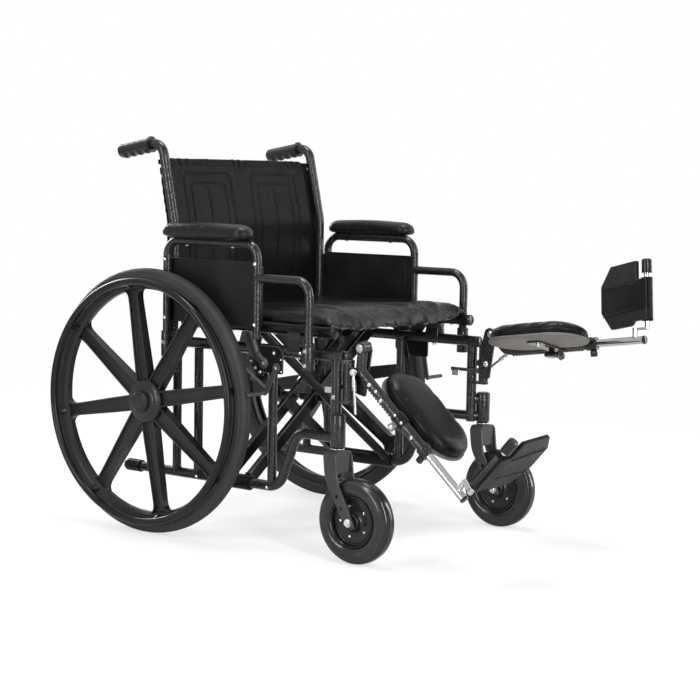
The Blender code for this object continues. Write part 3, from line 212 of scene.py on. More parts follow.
@effect("edge_wear", {"Amount": 0.5}, ("Mask",))
def edge_wear(tree, given):
    """Rubbed edges: the chamfers carry a mark, broken up by noise."""
    mark = marked(tree, "wear")
    broken = spread(tree, clouds(tree, object_place(tree), 130.0, 3.0), 0.34, 0.62, 0.35, 1.0)
    return {"Mask": times(tree, times(tree, mark, broken), given["Amount"])}


@effect("dust_film", {"Amount": 0.1}, ("Mask",))
def dust_film(tree, given):
    """A thin film of dust on faces that look up."""
    up = node(tree, "SeparateXYZ", {0: node(tree, "NewGeometry").outputs["Normal"]}).outputs["Z"]
    patch = clouds(tree, object_place(tree), 21.0, 5.0)
    film = times(tree, spread(tree, up, 0.1, 1.0), spread(tree, patch, 0.3, 0.75))
    return {"Mask": times(tree, film, given["Amount"])}


@effect("silver_vein", {"Scale": 300.0}, ("Mask", "Height"))
def vein(tree, given):
    """Vein powder coat: dark blobs with a worm-like silver net between them."""
    place = object_place(tree)
    sway = clouds(tree, place, 240.0, 1.0, "Color")
    shift = node(tree, "VectorMath", {0: sway, "Scale": 0.0034}, operation="SCALE").outputs[0]
    moved = node(tree, "VectorMath", {0: place, 1: shift}, operation="ADD").outputs[0]
    cells = cell_edges(tree, moved, given["Scale"])
    patch = clouds(tree, place, 420.0, 2.0)
    net = times(tree, spread(tree, cells, 0.02, 0.2, 1.0, 0.0), spread(tree, patch, 0.4, 0.62))
    return {"Mask": net, "Height": spread(tree, cells, 0.0, 0.3)}


@effect("vinyl_leather", {"Scale": 800.0}, ("Height", "Pebble"))
def leather(tree, given):
    """Vinyl grain: pebbles with fine creases between them."""
    place = object_place(tree)
    pebbles = cell_edges(tree, place, given["Scale"])
    crease = clouds(tree, place, 46.0, 6.0, Distortion=1.4)
    away = maths(tree, "ABSOLUTE", maths(tree, "SUBTRACT", crease, 0.5))
    line = spread(tree, away, 0.0, 0.035, 0.55, 0.0)
    pebble = spread(tree, pebbles, 0.0, 0.22)
    return {"Height": maths(tree, "SUBTRACT", pebble, line), "Pebble": pebble}


# Patterns: each takes a finish's tone and grain, and gives its tone, height and gloss


def vein_pattern(tree, tone, fine):
    net = placed(tree, vein, Scale=360.0)
    return mixed(tree, net["Mask"], tone, (0.046, 0.043, 0.039, 1.0)), net["Height"], net["Mask"]


def leather_pattern(tree, tone, fine):
    hide = placed(tree, leather, Scale=720.0)
    seam = marked(tree, "seam")
    dark = mixed(tree, times(tree, seam, 0.75), tone, (0.004, 0.004, 0.004, 1.0))
    height = maths(tree, "SUBTRACT", hide["Height"], seam)
    return dark, height, times(tree, hide["Pebble"], fine["Tone"])


def tread_pattern(tree, tone, fine):
    """A fine diamond tread in the plate's own coordinates."""
    chart = node(tree, "UVMap", uv_map="plate").outputs["UV"]
    place = node(tree, "SeparateXYZ", {0: chart}).outputs
    slants = [maths(tree, way, place["X"], place["Y"]) for way in ("ADD", "SUBTRACT")]
    lines = []
    for slant in slants:
        wave = maths(tree, "ABSOLUTE", maths(tree, "SINE", times(tree, slant, 560.0)))
        lines.append(spread(tree, wave, 0.0, 0.5))
    height = maths(tree, "ABSOLUTE", maths(tree, "SUBTRACT", place["Y"], 0.062))
    band = maths(tree, "GREATER_THAN", height, 0.034)
    knob = times(tree, times(tree, *lines), band)
    lift = maths(tree, "ADD", knob, times(tree, fine["Height"], 0.25))
    return mixed(tree, knob, tone, (0.012, 0.012, 0.0124, 1.0)), lift, fine["Tone"]


def rub_pattern(tree, tone, fine):
    """Scuffs that run round a tyre."""
    place = node(tree, "Mapping", {0: object_place(tree), "Scale": (340.0, 30.0, 30.0)}).outputs[0]
    scuff = clouds(tree, place, 1.0, 3.0)
    mask = spread(tree, scuff, 0.5, 0.8, 0.0, 0.5)
    return mixed(tree, mask, tone, (0.055, 0.053, 0.051, 1.0)), fine["Height"], scuff


# Finishes: name, slot, first, second and worn tones, the two ends of roughness, wear, dust, scale of
# the grain, lift of the bump, pattern, specular level and metal, which follows the pattern where it
# is a share
FINISHES = (
    ("vein_coat", "powder_coat", (0.003, 0.0029, 0.0028), (0.006, 0.0057, 0.0054), (0.17, 0.16, 0.15),
     (0.05, 0.11), 0.35, 0.0, 900.0, 0.0001, vein_pattern, 0.32, 0.25),
    ("brace_coat", "powder_coat", (0.0045, 0.0043, 0.0041), (0.0085, 0.0081, 0.0078),
     (0.22, 0.21, 0.195), (0.12, 0.22), 0.6, 0.01, 500.0, 0.00006, None, 0.13),
    ("satin_coat", "powder_coat", (0.027, 0.027, 0.0275), (0.04, 0.04, 0.0405), (0.12, 0.12, 0.12),
     (0.26, 0.4), 0.4, 0.02, 700.0, 0.00006, None, 0.17),
    ("wheel_plastic", "moulded_plastic", (0.0092, 0.0092, 0.0096), (0.0135, 0.0135, 0.0139),
     (0.075, 0.075, 0.077), (0.22, 0.36), 0.45, 0.02, 1100.0, 0.00004, None, 0.2),
    ("rim_plastic", "moulded_plastic", (0.006, 0.006, 0.0062), (0.009, 0.0089, 0.0088),
     (0.08, 0.08, 0.08), (0.14, 0.24), 0.35, 0.0, 900.0, 0.00004, None, 0.17),
    ("paddle_plastic", "moulded_plastic", (0.014, 0.014, 0.0143), (0.022, 0.022, 0.0223),
     (0.1, 0.1, 0.1), (0.2, 0.34), 0.4, 0.02, 700.0, 0.00005, None, 0.3),
    ("black_plastic", "moulded_plastic", (0.006, 0.006, 0.0063), (0.01, 0.01, 0.0103),
     (0.05, 0.05, 0.05), (0.14, 0.26), 0.35, 0.02, 900.0, 0.00004, None, 0.24),
    ("panel_plastic", "vinyl", (0.0062, 0.0062, 0.0065), (0.0085, 0.0085, 0.0088), (0.05, 0.05, 0.05),
     (0.34, 0.5), 0.3, 0.02, 1400.0, 0.00006, None, 0.13),
    ("tread_plastic", "moulded_plastic", (0.0038, 0.0038, 0.004), (0.0065, 0.0065, 0.0067),
     (0.08, 0.08, 0.08), (0.34, 0.48), 0.6, 0.0, 800.0, 0.0006, tread_pattern, 0.04),
    ("tyre_rubber", "tyre_rubber", (0.021, 0.0204, 0.02), (0.029, 0.0282, 0.0277), (0.06, 0.06, 0.06),
     (0.5, 0.68), 0.3, 0.08, 1200.0, 0.00008, rub_pattern, 0.2),
    ("caster_rubber", "tyre_rubber", (0.0085, 0.0084, 0.0083), (0.014, 0.0137, 0.0134),
     (0.05, 0.05, 0.05), (0.14, 0.24), 0.3, 0.02, 1000.0, 0.00003, rub_pattern, 0.3),
    ("grip_rubber", "grip_rubber", (0.0065, 0.0063, 0.0062), (0.01, 0.0098, 0.0096),
     (0.05, 0.05, 0.05), (0.3, 0.42), 0.3, 0.0, 1500.0, 0.00002, None, 0.22),
    ("vinyl", "vinyl", (0.005, 0.0046, 0.0043), (0.0082, 0.0075, 0.007), (0.05, 0.05, 0.05),
     (0.16, 0.25), 0.2, 0.0, 900.0, 0.00009, leather_pattern, 0.14),
    # The back's vinyl is the seat vinyl with its specular level cut to a third: a shaded copy of one
    # material, painted shade on the back sling
    ("shaded_back_vinyl", "vinyl", (0.0052, 0.0046, 0.0042), (0.0082, 0.0072, 0.0065), (0.05, 0.05, 0.05),
     (0.22, 0.34), 0.2, 0.0, 900.0, 0.00008, leather_pattern, 0.042),
    ("pad_vinyl", "vinyl", (0.0062, 0.006, 0.0058), (0.0092, 0.0089, 0.0086), (0.05, 0.05, 0.05),
     (0.2, 0.3), 0.2, 0.01, 900.0, 0.00007, leather_pattern, 0.17),
    # The calf pads' vinyl is the arm pads' vinyl made darker and less reflective: a shaded copy of one
    # material, painted shade on the calf pads
    ("shaded_calf_vinyl", "vinyl", (0.0044, 0.0043, 0.0042), (0.007, 0.0068, 0.0066), (0.05, 0.05, 0.05),
     (0.13, 0.21), 0.2, 0.0, 900.0, 0.00006, leather_pattern, 0.1),
    ("board", "vinyl", (0.092, 0.083, 0.074), (0.12, 0.11, 0.098), (0.25, 0.23, 0.21),
     (0.5, 0.66), 0.3, 0.08, 500.0, 0.0002, None, 0.3),
    # The chrome tones sit below bare chrome's own: painted dark reflection, standing in for the dark
    # parts of a studio that the white surround does not give
    ("chrome", "chrome", (0.36, 0.365, 0.375), (0.46, 0.463, 0.467), (0.6, 0.6, 0.6),
     (0.04, 0.08), 0.2, 0.02, 260.0, 0.00001, None, 0.5, 1.0),
    ("zinc", "zinc", (0.46, 0.475, 0.48), (0.6, 0.605, 0.59), (0.7, 0.7, 0.7),
     (0.14, 0.28), 0.3, 0.04, 420.0, 0.00005, None, 0.5, 1.0),
    ("yellow_zinc", "zinc", (0.1, 0.125, 0.112), (0.17, 0.195, 0.165), (0.4, 0.4, 0.36),
     (0.2, 0.36), 0.3, 0.04, 420.0, 0.00005, None, 0.5, 1.0),
)
DUST = (0.2, 0.185, 0.165, 1.0)
finishes, slots = {}, {}


def finish(name, colour, second, worn, rough, wear, dust, scale, lift, pattern, specular,
           metal=0.0):
    """A material from the shared effects: two tones, rubbed edges, dust, varied roughness and bump."""
    made = bpy.data.materials.new(name)
    made.use_nodes = True
    tree = made.node_tree
    shader = tree.nodes["Principled BSDF"]
    fine = placed(tree, grain, Scale=scale)
    tone = mixed(tree, fine["Tone"], (*colour, 1.0), (*second, 1.0))
    height, gloss = fine["Height"], fine["Tone"]
    if pattern:
        tone, height, gloss = pattern(tree, tone, fine)
    if 0 < metal < 1:
        metal = times(tree, gloss, metal)
    rubbed = placed(tree, edge_wear, Amount=wear)["Mask"]
    film = placed(tree, dust_film, Amount=dust)["Mask"]
    tone = mixed(tree, rubbed, tone, (*worn, 1.0))
    tone = mixed(tree, film, tone, DUST)
    wire(tree, shader.inputs["Base Color"], tone)
    level = spread(tree, gloss, 0.0, 1.0, *rough)
    wire(tree, shader.inputs["Roughness"], maths(tree, "ADD", level, times(tree, film, 0.5)))
    bump = node(tree, "Bump", {"Strength": 1.0, "Distance": lift, "Height": height})
    wire(tree, shader.inputs["Normal"], bump.outputs["Normal"])
    shader.inputs["Specular IOR Level"].default_value = specular
    wire(tree, shader.inputs["Metallic"], metal)
    return made


for title, slot, *look in FINISHES:
    finishes[title], slots[title] = finish(title, *look), slot


# Shape helpers


def at(side, x, y, z):
    return Vector((side * x, y, z))


def facing(point, way):
    """The place of something at a point, its +Z along the way."""
    return Matrix.Translation(point) @ Vector(way).to_track_quat("Z", "Y").to_matrix().to_4x4()


def put(bm, shape, place=None):
    """Adds a clean shape to a piece's mesh."""
    if place is not None:
        bmesh.ops.transform(shape, matrix=place, verts=shape.verts)
    bmesh.ops.remove_doubles(shape, verts=shape.verts, dist=0.00001)
    bmesh.ops.recalc_face_normals(shape, faces=shape.faces)
    mesh = bpy.data.meshes.new("shape")
    shape.to_mesh(mesh)
    shape.free()
    bm.from_mesh(mesh)
    bpy.data.meshes.remove(mesh)


def link_mesh(name, bm):
    mesh = bpy.data.meshes.new(name)
    bm.to_mesh(mesh)
    bm.free()
    thing = bpy.data.objects.new(name, mesh)
    scene.collection.objects.link(thing)
    return thing


def evaluated(thing):
    """The mesh of an object with its modifiers applied; the object goes."""
    bpy.context.view_layer.update()
    mesh = bpy.data.meshes.new_from_object(thing.evaluated_get(bpy.context.evaluated_depsgraph_get()))
    bpy.data.objects.remove(thing)
    return mesh


def reopened(mesh):
    """A mesh opened for editing again; its data block goes."""
    shape = bmesh.new()
    shape.from_mesh(mesh)
    bpy.data.meshes.remove(mesh)
    return shape


def soften(shape, offset, over=50, segments=1):
    """Takes the sharp edges off, and marks the new faces for wear."""
    if not offset:
        return
    mark = shape.faces.layers.float.get("wear") or shape.faces.layers.float.new("wear")
    sharp = [edge for edge in shape.edges
             if len(edge.link_faces) == 2 and edge.calc_face_angle() > radians(over)]
    made = bmesh.ops.bevel(shape, geom=sharp, offset=offset, affect="EDGES", segments=segments,
                           profile=0.5, material=-1, clamp_overlap=True)
    for face in made["faces"]:
        face[mark] = 1.0


def rod(bm, start, end, radius, end_radius=None, steps=24, edge=0.0007):
    start, end = Vector(start), Vector(end)
    shape = bmesh.new()
    bmesh.ops.create_cone(shape, cap_ends=True, segments=steps, radius1=radius,
                          radius2=end_radius or radius, depth=(end - start).length)
    soften(shape, edge)
    put(bm, shape, facing((start + end) / 2, end - start))


def cross_pin(bm, side, start, end, y, z, radius, steps=24):
    """A rod across the chair."""
    rod(bm, at(side, start, y, z), at(side, end, y, z), radius, steps=steps)


def block(bm, low, high, edge=0.001, turn=None, segments=1):
    low, high = Vector(low), Vector(high)
    size = [abs(value) for value in high - low]
    shape = bmesh.new()
    bmesh.ops.create_cube(shape,
                          matrix=Matrix.Translation((low + high) / 2) @ Matrix.Diagonal((*size, 1)))
    soften(shape, edge, segments=segments)
    put(bm, shape, turn)


def bar(bm, start, end, width, depth, edge=0.0015):
    """A straight bar; width is along Y for bars in the XZ plane."""
    start, end = Vector(start), Vector(end)
    way = (end - start).normalized()
    side = Vector((0, 1, 0)) if abs(way.y) < 0.9 else Vector((1, 0, 0))
    third = way.cross(side).normalized()
    turn = Matrix((third.cross(way), third, way)).transposed().to_4x4()
    half = Vector((width, depth, (end - start).length)) / 2
    block(bm, -half, half, edge, Matrix.Translation((start + end) / 2) @ turn)


def rounded(points, radius, steps=10):
    """The corners of a path replaced by arcs."""
    points = [Vector(point) for point in points]
    path = [points[0]]
    for before, corner, after in zip(points, points[1:], points[2:]):
        back, on = (before - corner).normalized(), (after - corner).normalized()
        half = back.angle(on) / 2
        if half > 1.55:
            path.append(corner)
            continue
        reach = min(radius / tan(half), 0.49 * (before - corner).length, 0.49 * (after - corner).length)
        bend = reach * tan(half)
        centre = corner + (back + on).normalized() * (bend / sin(half))
        first = corner + back * reach - centre
        normal = first.cross(corner + on * reach - centre).normalized()
        for step in range(steps + 1):
            path.append(centre + Matrix.Rotation((pi - 2 * half) * step / steps, 3, normal) @ first)
    path.append(points[-1])
    return path


def rounded_ring(points, radius, steps=4):
    """A closed outline with its corners rounded."""
    points = [Vector(point) for point in points]
    middle = (points[0] + points[-1]) / 2
    return rounded([middle, *points, middle], radius, steps)[:-1]


def path_ways(path):
    """The direction of a path at each of its points."""
    befores, afters = [path[0], *path[:-1]], [*path[1:], path[-1]]
    return [(after - before).normalized() for before, after in zip(befores, afters)]


def tube(bm, path, radius, steps=20, closed=False, swell=None):
    """A round tube along a path."""
    curve = bpy.data.curves.new("path", "CURVE")
    curve.dimensions = "3D"
    curve.bevel_depth = radius
    curve.bevel_resolution = (steps - 4) // 2
    curve.use_fill_caps = not closed
    spline = curve.splines.new("POLY")
    spline.points.add(len(path) - 1)
    for index, place in enumerate(path):
        spline.points[index].co = (*place, 1.0)
        if swell:
            spline.points[index].radius = swell[index]
    spline.use_cyclic_u = closed
    guide = bpy.data.objects.new("path", curve)
    scene.collection.objects.link(guide)
    put(bm, reopened(evaluated(guide)))


def mirrored(profile):
    """The same profile on the far side of the middle."""
    return [(radius, -height) for radius, height in reversed(profile)]


def lathe(bm, profile, place, steps=64, ring=False, fillet=0.0, arcs=2):
    """A profile of (radius, height), its corners rounded by the fillet, turned about a place's +Z."""
    if fillet:
        corners = [Vector((radius, height, 0)) for radius, height in profile]
        path = (rounded_ring if ring else rounded)(corners, fillet, arcs)
        profile = [(point.x, point.y) for point in path]
    shape = bmesh.new()
    points = [shape.verts.new((radius, 0, height)) for radius, height in profile]
    pairs = list(zip(points, points[1:])) + ([(points[-1], points[0])] if ring else [])
    outline = points + [shape.edges.new(pair) for pair in pairs]
    bmesh.ops.spin(shape, geom=outline, cent=(0, 0, 0), axis=(0, 0, 1), angle=2 * pi, steps=steps,
                   use_merge=True)
    put(bm, shape, place)


def collar(bm, place, bore, radius, height, fillet=0.0007, steps=32, arcs=2):
    """A short sleeve that stands on a place."""
    profile = [(bore, 0), (radius, 0), (radius, height), (bore, height)]
    lathe(bm, profile, place, steps, True, fillet, arcs)


def doubled(shape):
    """Gives a sheet a second face, and returns the points of that face."""
    made = bmesh.ops.extrude_face_region(shape, geom=list(shape.faces))
    return [item for item in made["geom"] if isinstance(item, bmesh.types.BMVert)]


def plate(bm, outline, thick, place=None, edge=0.0006, chart=False):
    """A flat outline thickened along a vector; a chart carries its own coordinates to the finish."""
    shape = bmesh.new()
    ring = [shape.verts.new(point) for point in outline]
    bmesh.ops.contextual_create(shape,
                                geom=[shape.edges.new(pair) for pair in zip(ring, ring[1:] + ring[:1])])
    bmesh.ops.translate(shape, vec=thick, verts=doubled(shape))
    soften(shape, edge)
    if chart:
        layer = shape.loops.layers.uv.new("plate")
        for face in shape.faces:
            for corner in face.loops:
                corner[layer].uv = (corner.vert.co.x, corner.vert.co.z)
    put(bm, shape, place)


def loft(bm, rings, place=None, edge=0.0, over=50):
    """A closed form bridged through rings of points."""
    shape = bmesh.new()
    loops = []
    for ring in rings:
        points = [shape.verts.new(point) for point in ring]
        loops.append([shape.edges.new(pair) for pair in zip(points, points[1:] + points[:1])])
    for first, second in zip(loops, loops[1:]):
        bmesh.ops.bridge_loops(shape, edges=first + second)
    for loop in (loops[0], loops[-1]):
        bmesh.ops.contextual_create(shape, geom=loop)
    bmesh.ops.recalc_face_normals(shape, faces=shape.faces)
    soften(shape, edge, over)
    put(bm, shape, place)


def circle(centre, first, second, radius, steps=16):
    """A ring of points about a centre, in the plane of two directions."""
    centre, first, second = Vector(centre), Vector(first), Vector(second)
    turns = [2 * pi * step / steps for step in range(steps)]
    return [centre + (first * cos(turn) + second * sin(turn)) * radius for turn in turns]


def lobed(radius, height, lobes, depth, steps):
    """A level ring with lobes."""
    ring = []
    for step in range(steps):
        turn = 2 * pi * step / steps
        reach = radius * (1 + depth * cos(lobes * turn))
        ring.append(Vector((reach * cos(turn), reach * sin(turn), height)))
    return ring


def cut(bm, tool):
    """A piece's mesh less the tool's."""
    body, cutter = link_mesh("body", bm), link_mesh("tool", tool)
    less = body.modifiers.new("cut", "BOOLEAN")
    less.operation, less.solver, less.object = "DIFFERENCE", "EXACT", cutter
    result = reopened(evaluated(body))
    bpy.data.objects.remove(cutter)
    return result


def bead_along(bm, path, bead):
    """A rippled weld bead along a closed path."""
    tube(bm, path, bead, 8, True, [1.0 + 0.16 * (step % 2) for step in range(len(path))])


def weld(bm, foot, way, radius, rail_way, rail_radius, bead=0.0016):
    """The bead where a tube of this radius meets a rail, foot being on the rail's axis."""
    way, rail_way = Vector(way).normalized(), Vector(rail_way).normalized()
    across = way.cross(rail_way).normalized()
    path = []
    for step in range(40):
        turn = 2 * pi * step / 40
        off = radius * sin(turn)
        height = sqrt(max(rail_radius ** 2 - off ** 2, (0.3 * rail_radius) ** 2))
        path.append(Vector(foot) + rail_way * (radius * cos(turn)) + across * off + way * height)
    bead_along(bm, path, bead)


def ring_weld(bm, point, way, radius, bead=0.0016):
    """A bead round a tube that meets a flat face."""
    way = Vector(way).normalized()
    first = way.orthogonal().normalized()
    bead_along(bm, circle(point, first, way.cross(first), radius, 32), bead)


def bolt(bm, point, way, radius, height, kind="hex"):
    """A fastener's head, with a washer under a hex head or a round dip in a domed one."""
    place = facing(Vector(point), way)
    if kind == "hex":
        washer, thin = radius * 1.16, height * 0.14
        lathe(bm, [(0, 0), (washer, 0), (washer, thin), (0, thin)], place, 24)
        shape = bmesh.new()
        bmesh.ops.create_cone(shape, cap_ends=True, segments=6, radius1=radius, radius2=radius,
                              depth=height)
        bmesh.ops.translate(shape, vec=(0, 0, height / 2), verts=shape.verts)
        soften(shape, radius * 0.1, 40)
        put(bm, shape, place)
        profile = ((0, 1), (0.55, 1), (0.5, 1.22), (0, 1.26))
    else:
        profile = ((0, 0), (1, 0), (0.98, 0.3), (0.8, 0.72), (0.45, 0.96), (0.3, 1), (0.2, 0.72),
                   (0, 0.66))
    lathe(bm, [(radius * r, height * h) for r, h in profile], place, 20)


def plug(bm, point, way, radius, height=0.003):
    """A domed plastic plug in a tube's end."""
    root = [(0, -0.006), (radius * 0.8, -0.006), (radius * 0.8, 0), (radius, 0)]
    dome = [(radius * r, height * h) for r, h in ((1, 0.45), (0.86, 0.85), (0.5, 1), (0, 1))]
    lathe(bm, root + dome, facing(Vector(point), way), 28)


def piece(name, bm, surface, body, *nodes, sharp=32):
    """The finished object: in its place, smooth but for its sharp edges, riding on its body."""
    bmesh.ops.translate(bm, vec=(0, AXLE_Y, 0), verts=bm.verts)
    for face in bm.faces:
        face.smooth = True
    for edge in bm.edges:
        edge.smooth = len(edge.link_faces) != 2 or edge.calc_face_angle(0.0) < radians(sharp)
    thing = link_mesh(name, bm)
    thing.data.materials.clear()
    thing.data.materials.append(finishes[surface])
    if nodes:
        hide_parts(*nodes)
    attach(thing, body)
    return thing


def gathered(name, surface, body, maker, *rows):
    """A piece of alike shapes, one for each row of the maker's values."""
    bm = bmesh.new()
    for row in rows:
        maker(bm, *row)
    piece(name, bm, surface, body)


def bell(away, wide):
    """1 on a line, and falling off over a width."""
    return exp(-(away / wide) ** 2)


def wave(x, y, z):
    return noise.noise(Vector((x, y, z)))


# Side frames


def front_post(side, z):
    return at(side, FRAME_X, FRONT_POST_Y, z)


def stem(side, z):
    return at(side, CASTER_X, STEM_Y, z)


def cane_path(side):
    """The cane's path, and the start and end of its handle."""
    top_y = CANE_Y + (CANE_TOP_Z - CANE_BEND_Z) * tan(CANE_LEAN)
    foot, bend = at(side, CANE_X, CANE_Y, UPPER_RAIL_Z - 0.018), at(side, CANE_X, CANE_Y, CANE_BEND_Z)
    top = at(side, CANE_X, top_y, CANE_TOP_Z)
    end = at(side, CANE_X, top_y + HANDLE_LENGTH, CANE_TOP_Z - HANDLE_LENGTH * tan(HANDLE_DROP))
    lower = rounded([foot, bend, top], CANE_BEND_R)
    upper = rounded([lower[-2], top, end], 0.03)
    return lower[:-1] + upper[1:], top, end


def side_frame(word, side):
    bm, body, out = bmesh.new(), word + "_side", Vector((side, 0, 0))
    rail_rear = at(side, FRAME_X, REAR_POST_Y + 0.016, UPPER_RAIL_Z)
    rail_front = at(side, FRAME_X, FRONT_POST_Y - 0.019, UPPER_RAIL_Z)
    front_r = FRAME_TUBE_R - 0.0006
    tube(bm, cane_path(side)[0], CANE_R, 24)
    rod(bm, rail_rear, rail_front, FRAME_TUBE_R, steps=28)
    rod(bm, front_post(side, FRONT_POST_BOTTOM_Z), front_post(side, UPPER_RAIL_Z + 0.006), front_r,
        steps=28)
    sweep = rounded([
        at(side, LOWER_X, STEP_TUBE_END_Y - 0.006, LOWER_RAIL_Z),
        at(side, LOWER_X, BRACE_POST_Y - 0.022, LOWER_RAIL_Z),
        at(side, LOWER_X + 0.004, SWEEP_TOP_Y, SWEEP_Z),
        at(side, FRAME_X - 0.002, FRONT_POST_Y, SWEEP_Z),
    ], 0.045, 12)
    tube(bm, sweep, LOWER_TUBE_R, 24)
    for y in (REAR_POST_Y, SECOND_POST_Y, BRACE_POST_Y):
        foot = at(side, LOWER_X, y, LOWER_RAIL_Z)
        rod(bm, foot, at(side, LOWER_X, y, UPPER_RAIL_Z - 0.001), POST_R, steps=24)
        weld(bm, foot, UP, POST_R, BACK, LOWER_TUBE_R)
        under = at(side, LOWER_X + 0.002, y, UPPER_RAIL_Z - FRAME_TUBE_R + 0.002)
        ring_weld(bm, under, UP, POST_R + 0.0006, 0.0018)
    weld(bm, front_post(side, UPPER_RAIL_Z), -UP, front_r, BACK, FRAME_TUBE_R)
    weld(bm, front_post(side, SWEEP_Z), BACK, LOWER_TUBE_R - 0.0004, UP, front_r)
    cane_foot = at(side, CANE_X - 0.001, CANE_Y, UPPER_RAIL_Z + FRAME_TUBE_R - 0.001)
    ring_weld(bm, cane_foot, UP, CANE_R + 0.0008)
    axle = facing(at(side, LOWER_X - AXLE_SLEEVE_IN, 0, WHEEL_R), out)
    collar(bm, axle, AXLE_R + 0.001, 0.015, AXLE_SLEEVE_IN + AXLE_SLEEVE_OUT, 0.001, 36)
    weld(bm, at(side, LOWER_X, REAR_POST_Y, WHEEL_R), BACK, 0.01, out, 0.01)
    tall = HOUSING_TOP_Z - HOUSING_BOTTOM_Z
    lathe(bm, [(HOUSING_R * 0.72, 0), (HOUSING_R, 0), (HOUSING_R, tall), (0, tall)],
          facing(stem(side, HOUSING_BOTTOM_Z), UP), 40, fillet=0.0012, arcs=3)
    for z in (SWEEP_Z - 0.001, HOUSING_TOP_Z - 0.014):
        post, far = front_post(side, z), stem(side, z)
        rod(bm, post, far, HOUSING_R * 0.6, steps=20)
        weld(bm, far, post - far, HOUSING_R * 0.58, UP, HOUSING_R, 0.0014)
    for y in (ARM_REAR_Y, ARM_STEP_Y):
        low = facing(at(side, ARM_X, y, SOCKET_BOTTOM_Z), UP)
        collar(bm, low, ARM_TUBE_R + 0.0006, SOCKET_R, SOCKET_TOP_Z - SOCKET_BOTTOM_Z)
        block(bm, at(side, FRAME_X, y - 0.008, UPPER_RAIL_Z - 0.009),
              at(side, ARM_X - 0.006, y + 0.008, UPPER_RAIL_Z + 0.008))
    lug = [(0.01, -FRONT_POST_Y), (0.01, -HANGER_Y), (0.0085, 0.007 - HANGER_Y),
           (0.005, 0.0112 - HANGER_Y)]
    for z in (HANGER_BOTTOM_Z - 0.0073, HANGER_TOP_Z):
        left = [at(side, FRAME_X - x, -y, z) for x, y in lug]
        right = [at(side, FRAME_X + x, -y, z) for x, y in reversed(lug)]
        plate(bm, [*left, at(side, FRAME_X, HANGER_Y - 0.012, z), *right], (0, 0, 0.007))
    piece(word + "_side_tubes", bm, "vein_coat", body, word + "_side_frame")

    gathered(word + "_tube_plugs", "black_plastic", body, plug,
             (rail_front, -BACK, FRAME_TUBE_R - 0.0004), (rail_rear, BACK, FRAME_TUBE_R - 0.0004),
             (front_post(side, FRONT_POST_BOTTOM_Z), -UP, FRAME_TUBE_R - 0.001, 0.0025),
             (stem(side, HOUSING_TOP_Z - 0.0002), UP, HOUSING_R * 0.86, 0.0028))

    lower_face, socket_face = LOWER_X + LOWER_TUBE_R - 0.0006, ARM_X + SOCKET_R - 0.0006
    rail_face = FRAME_X + FRAME_TUBE_R
    gathered(
        word + "_frame_bolts", "zinc", body, bolt,
        *((at(side, lower_face, y, LOWER_RAIL_Z - 0.002), out, 0.0042, 0.003, "dome")
          for y in (-0.0797, -0.2936)),
        *((at(side, socket_face, y, z), out, 0.0042, 0.0032)
          for y, z in ((ARM_STEP_Y, 0.45), (ARM_STEP_Y, 0.418), (ARM_REAR_Y, 0.44))),
        (at(side, FRAME_X, SADDLE_Y, UPPER_RAIL_Z - FRAME_TUBE_R + 0.0005), -UP, 0.005, 0.005),
        (at(side, rail_face - 0.001, -0.411, 0.4375), out, 0.0046, 0.003, "dome"),
        (at(side, rail_face - 0.0008, SADDLE_Y - 0.016, UPPER_RAIL_Z), out, 0.0045, 0.003, "dome"),
        (at(side, rail_face - 0.0012, FRONT_POST_Y, 0.352), out, 0.0044, 0.0032))


def push_grip(word, side):
    """The rubber grip: a flange, four finger ridges underneath and a rounded end."""
    _, bend, end = cane_path(side)
    way = (end - bend).normalized()
    start = bend + way * 0.031
    length = (end - start).length
    inner, outer = CANE_R + GAP, CANE_R + 0.0042
    profile = [(inner, 0), (outer + 0.0032, 0), (outer + 0.0034, 0.0022), (outer + 0.0016, 0.004)]
    profile += [(outer + 0.0004, 0.0055 + (length - 0.0115) * step / 46) for step in range(47)]
    profile += [(outer + 0.0006, length - 0.003), (outer - 0.0002, length + 0.0005),
                (outer * 0.8, length + 0.0032), (outer * 0.35, length + 0.004),
                (outer * 0.28, length + 0.0025), (0, length + 0.0023)]
    shape = bmesh.new()
    lathe(shape, profile, Matrix.Identity(4), 40)
    place = facing(start, way)
    down = place.to_3x3().inverted() @ -UP
    for vert in shape.verts:
        height = vert.co.z
        if 0.006 < height < length - 0.003 and hypot(vert.co.x, vert.co.y) > outer * 0.9:
            flat = Vector((vert.co.x, vert.co.y, 0)).normalized()
            under = max(0.0, flat.dot(down)) ** 0.7
            ridge = 0.5 - 0.5 * cos(2 * pi * 4 * (height - 0.006) / (length - 0.009))
            vert.co += flat * (0.0032 * under * ridge)
    bm = bmesh.new()
    put(bm, shape, place)
    piece(word + "_grip", bm, "grip_rubber", word + "_side", word + "_push_grip")


def step_tip(word, side):
    bore, length = LOWER_TUBE_R + GAP, STEP_TIP_LENGTH
    outer = bore + 0.0028
    profile = [(bore, 0), (outer - 0.0005, 0), (outer, 0.001), (outer, 0.006)]
    for step in range(6):
        low = 0.01 + step * 0.005
        profile += [(outer, low), (outer - 0.0009, low + 0.0008), (outer - 0.0009, low + 0.002),
                    (outer, low + 0.0028)]
    profile += [(outer, length - 0.004), (outer - 0.0015, length - 0.0008), (outer - 0.004, length),
                (0, length), (0, length - 0.0075), (bore, length - 0.0075)]
    bm = bmesh.new()
    start = at(side, LOWER_X, STEP_TUBE_END_Y - 0.006 - (length - 0.008) + GAP, LOWER_RAIL_Z)
    lathe(bm, profile, facing(start, BACK), 36, True)
    piece(word + "_tread_tip", bm, "grip_rubber", word + "_side", word + "_step_tip")


# Rear wheels


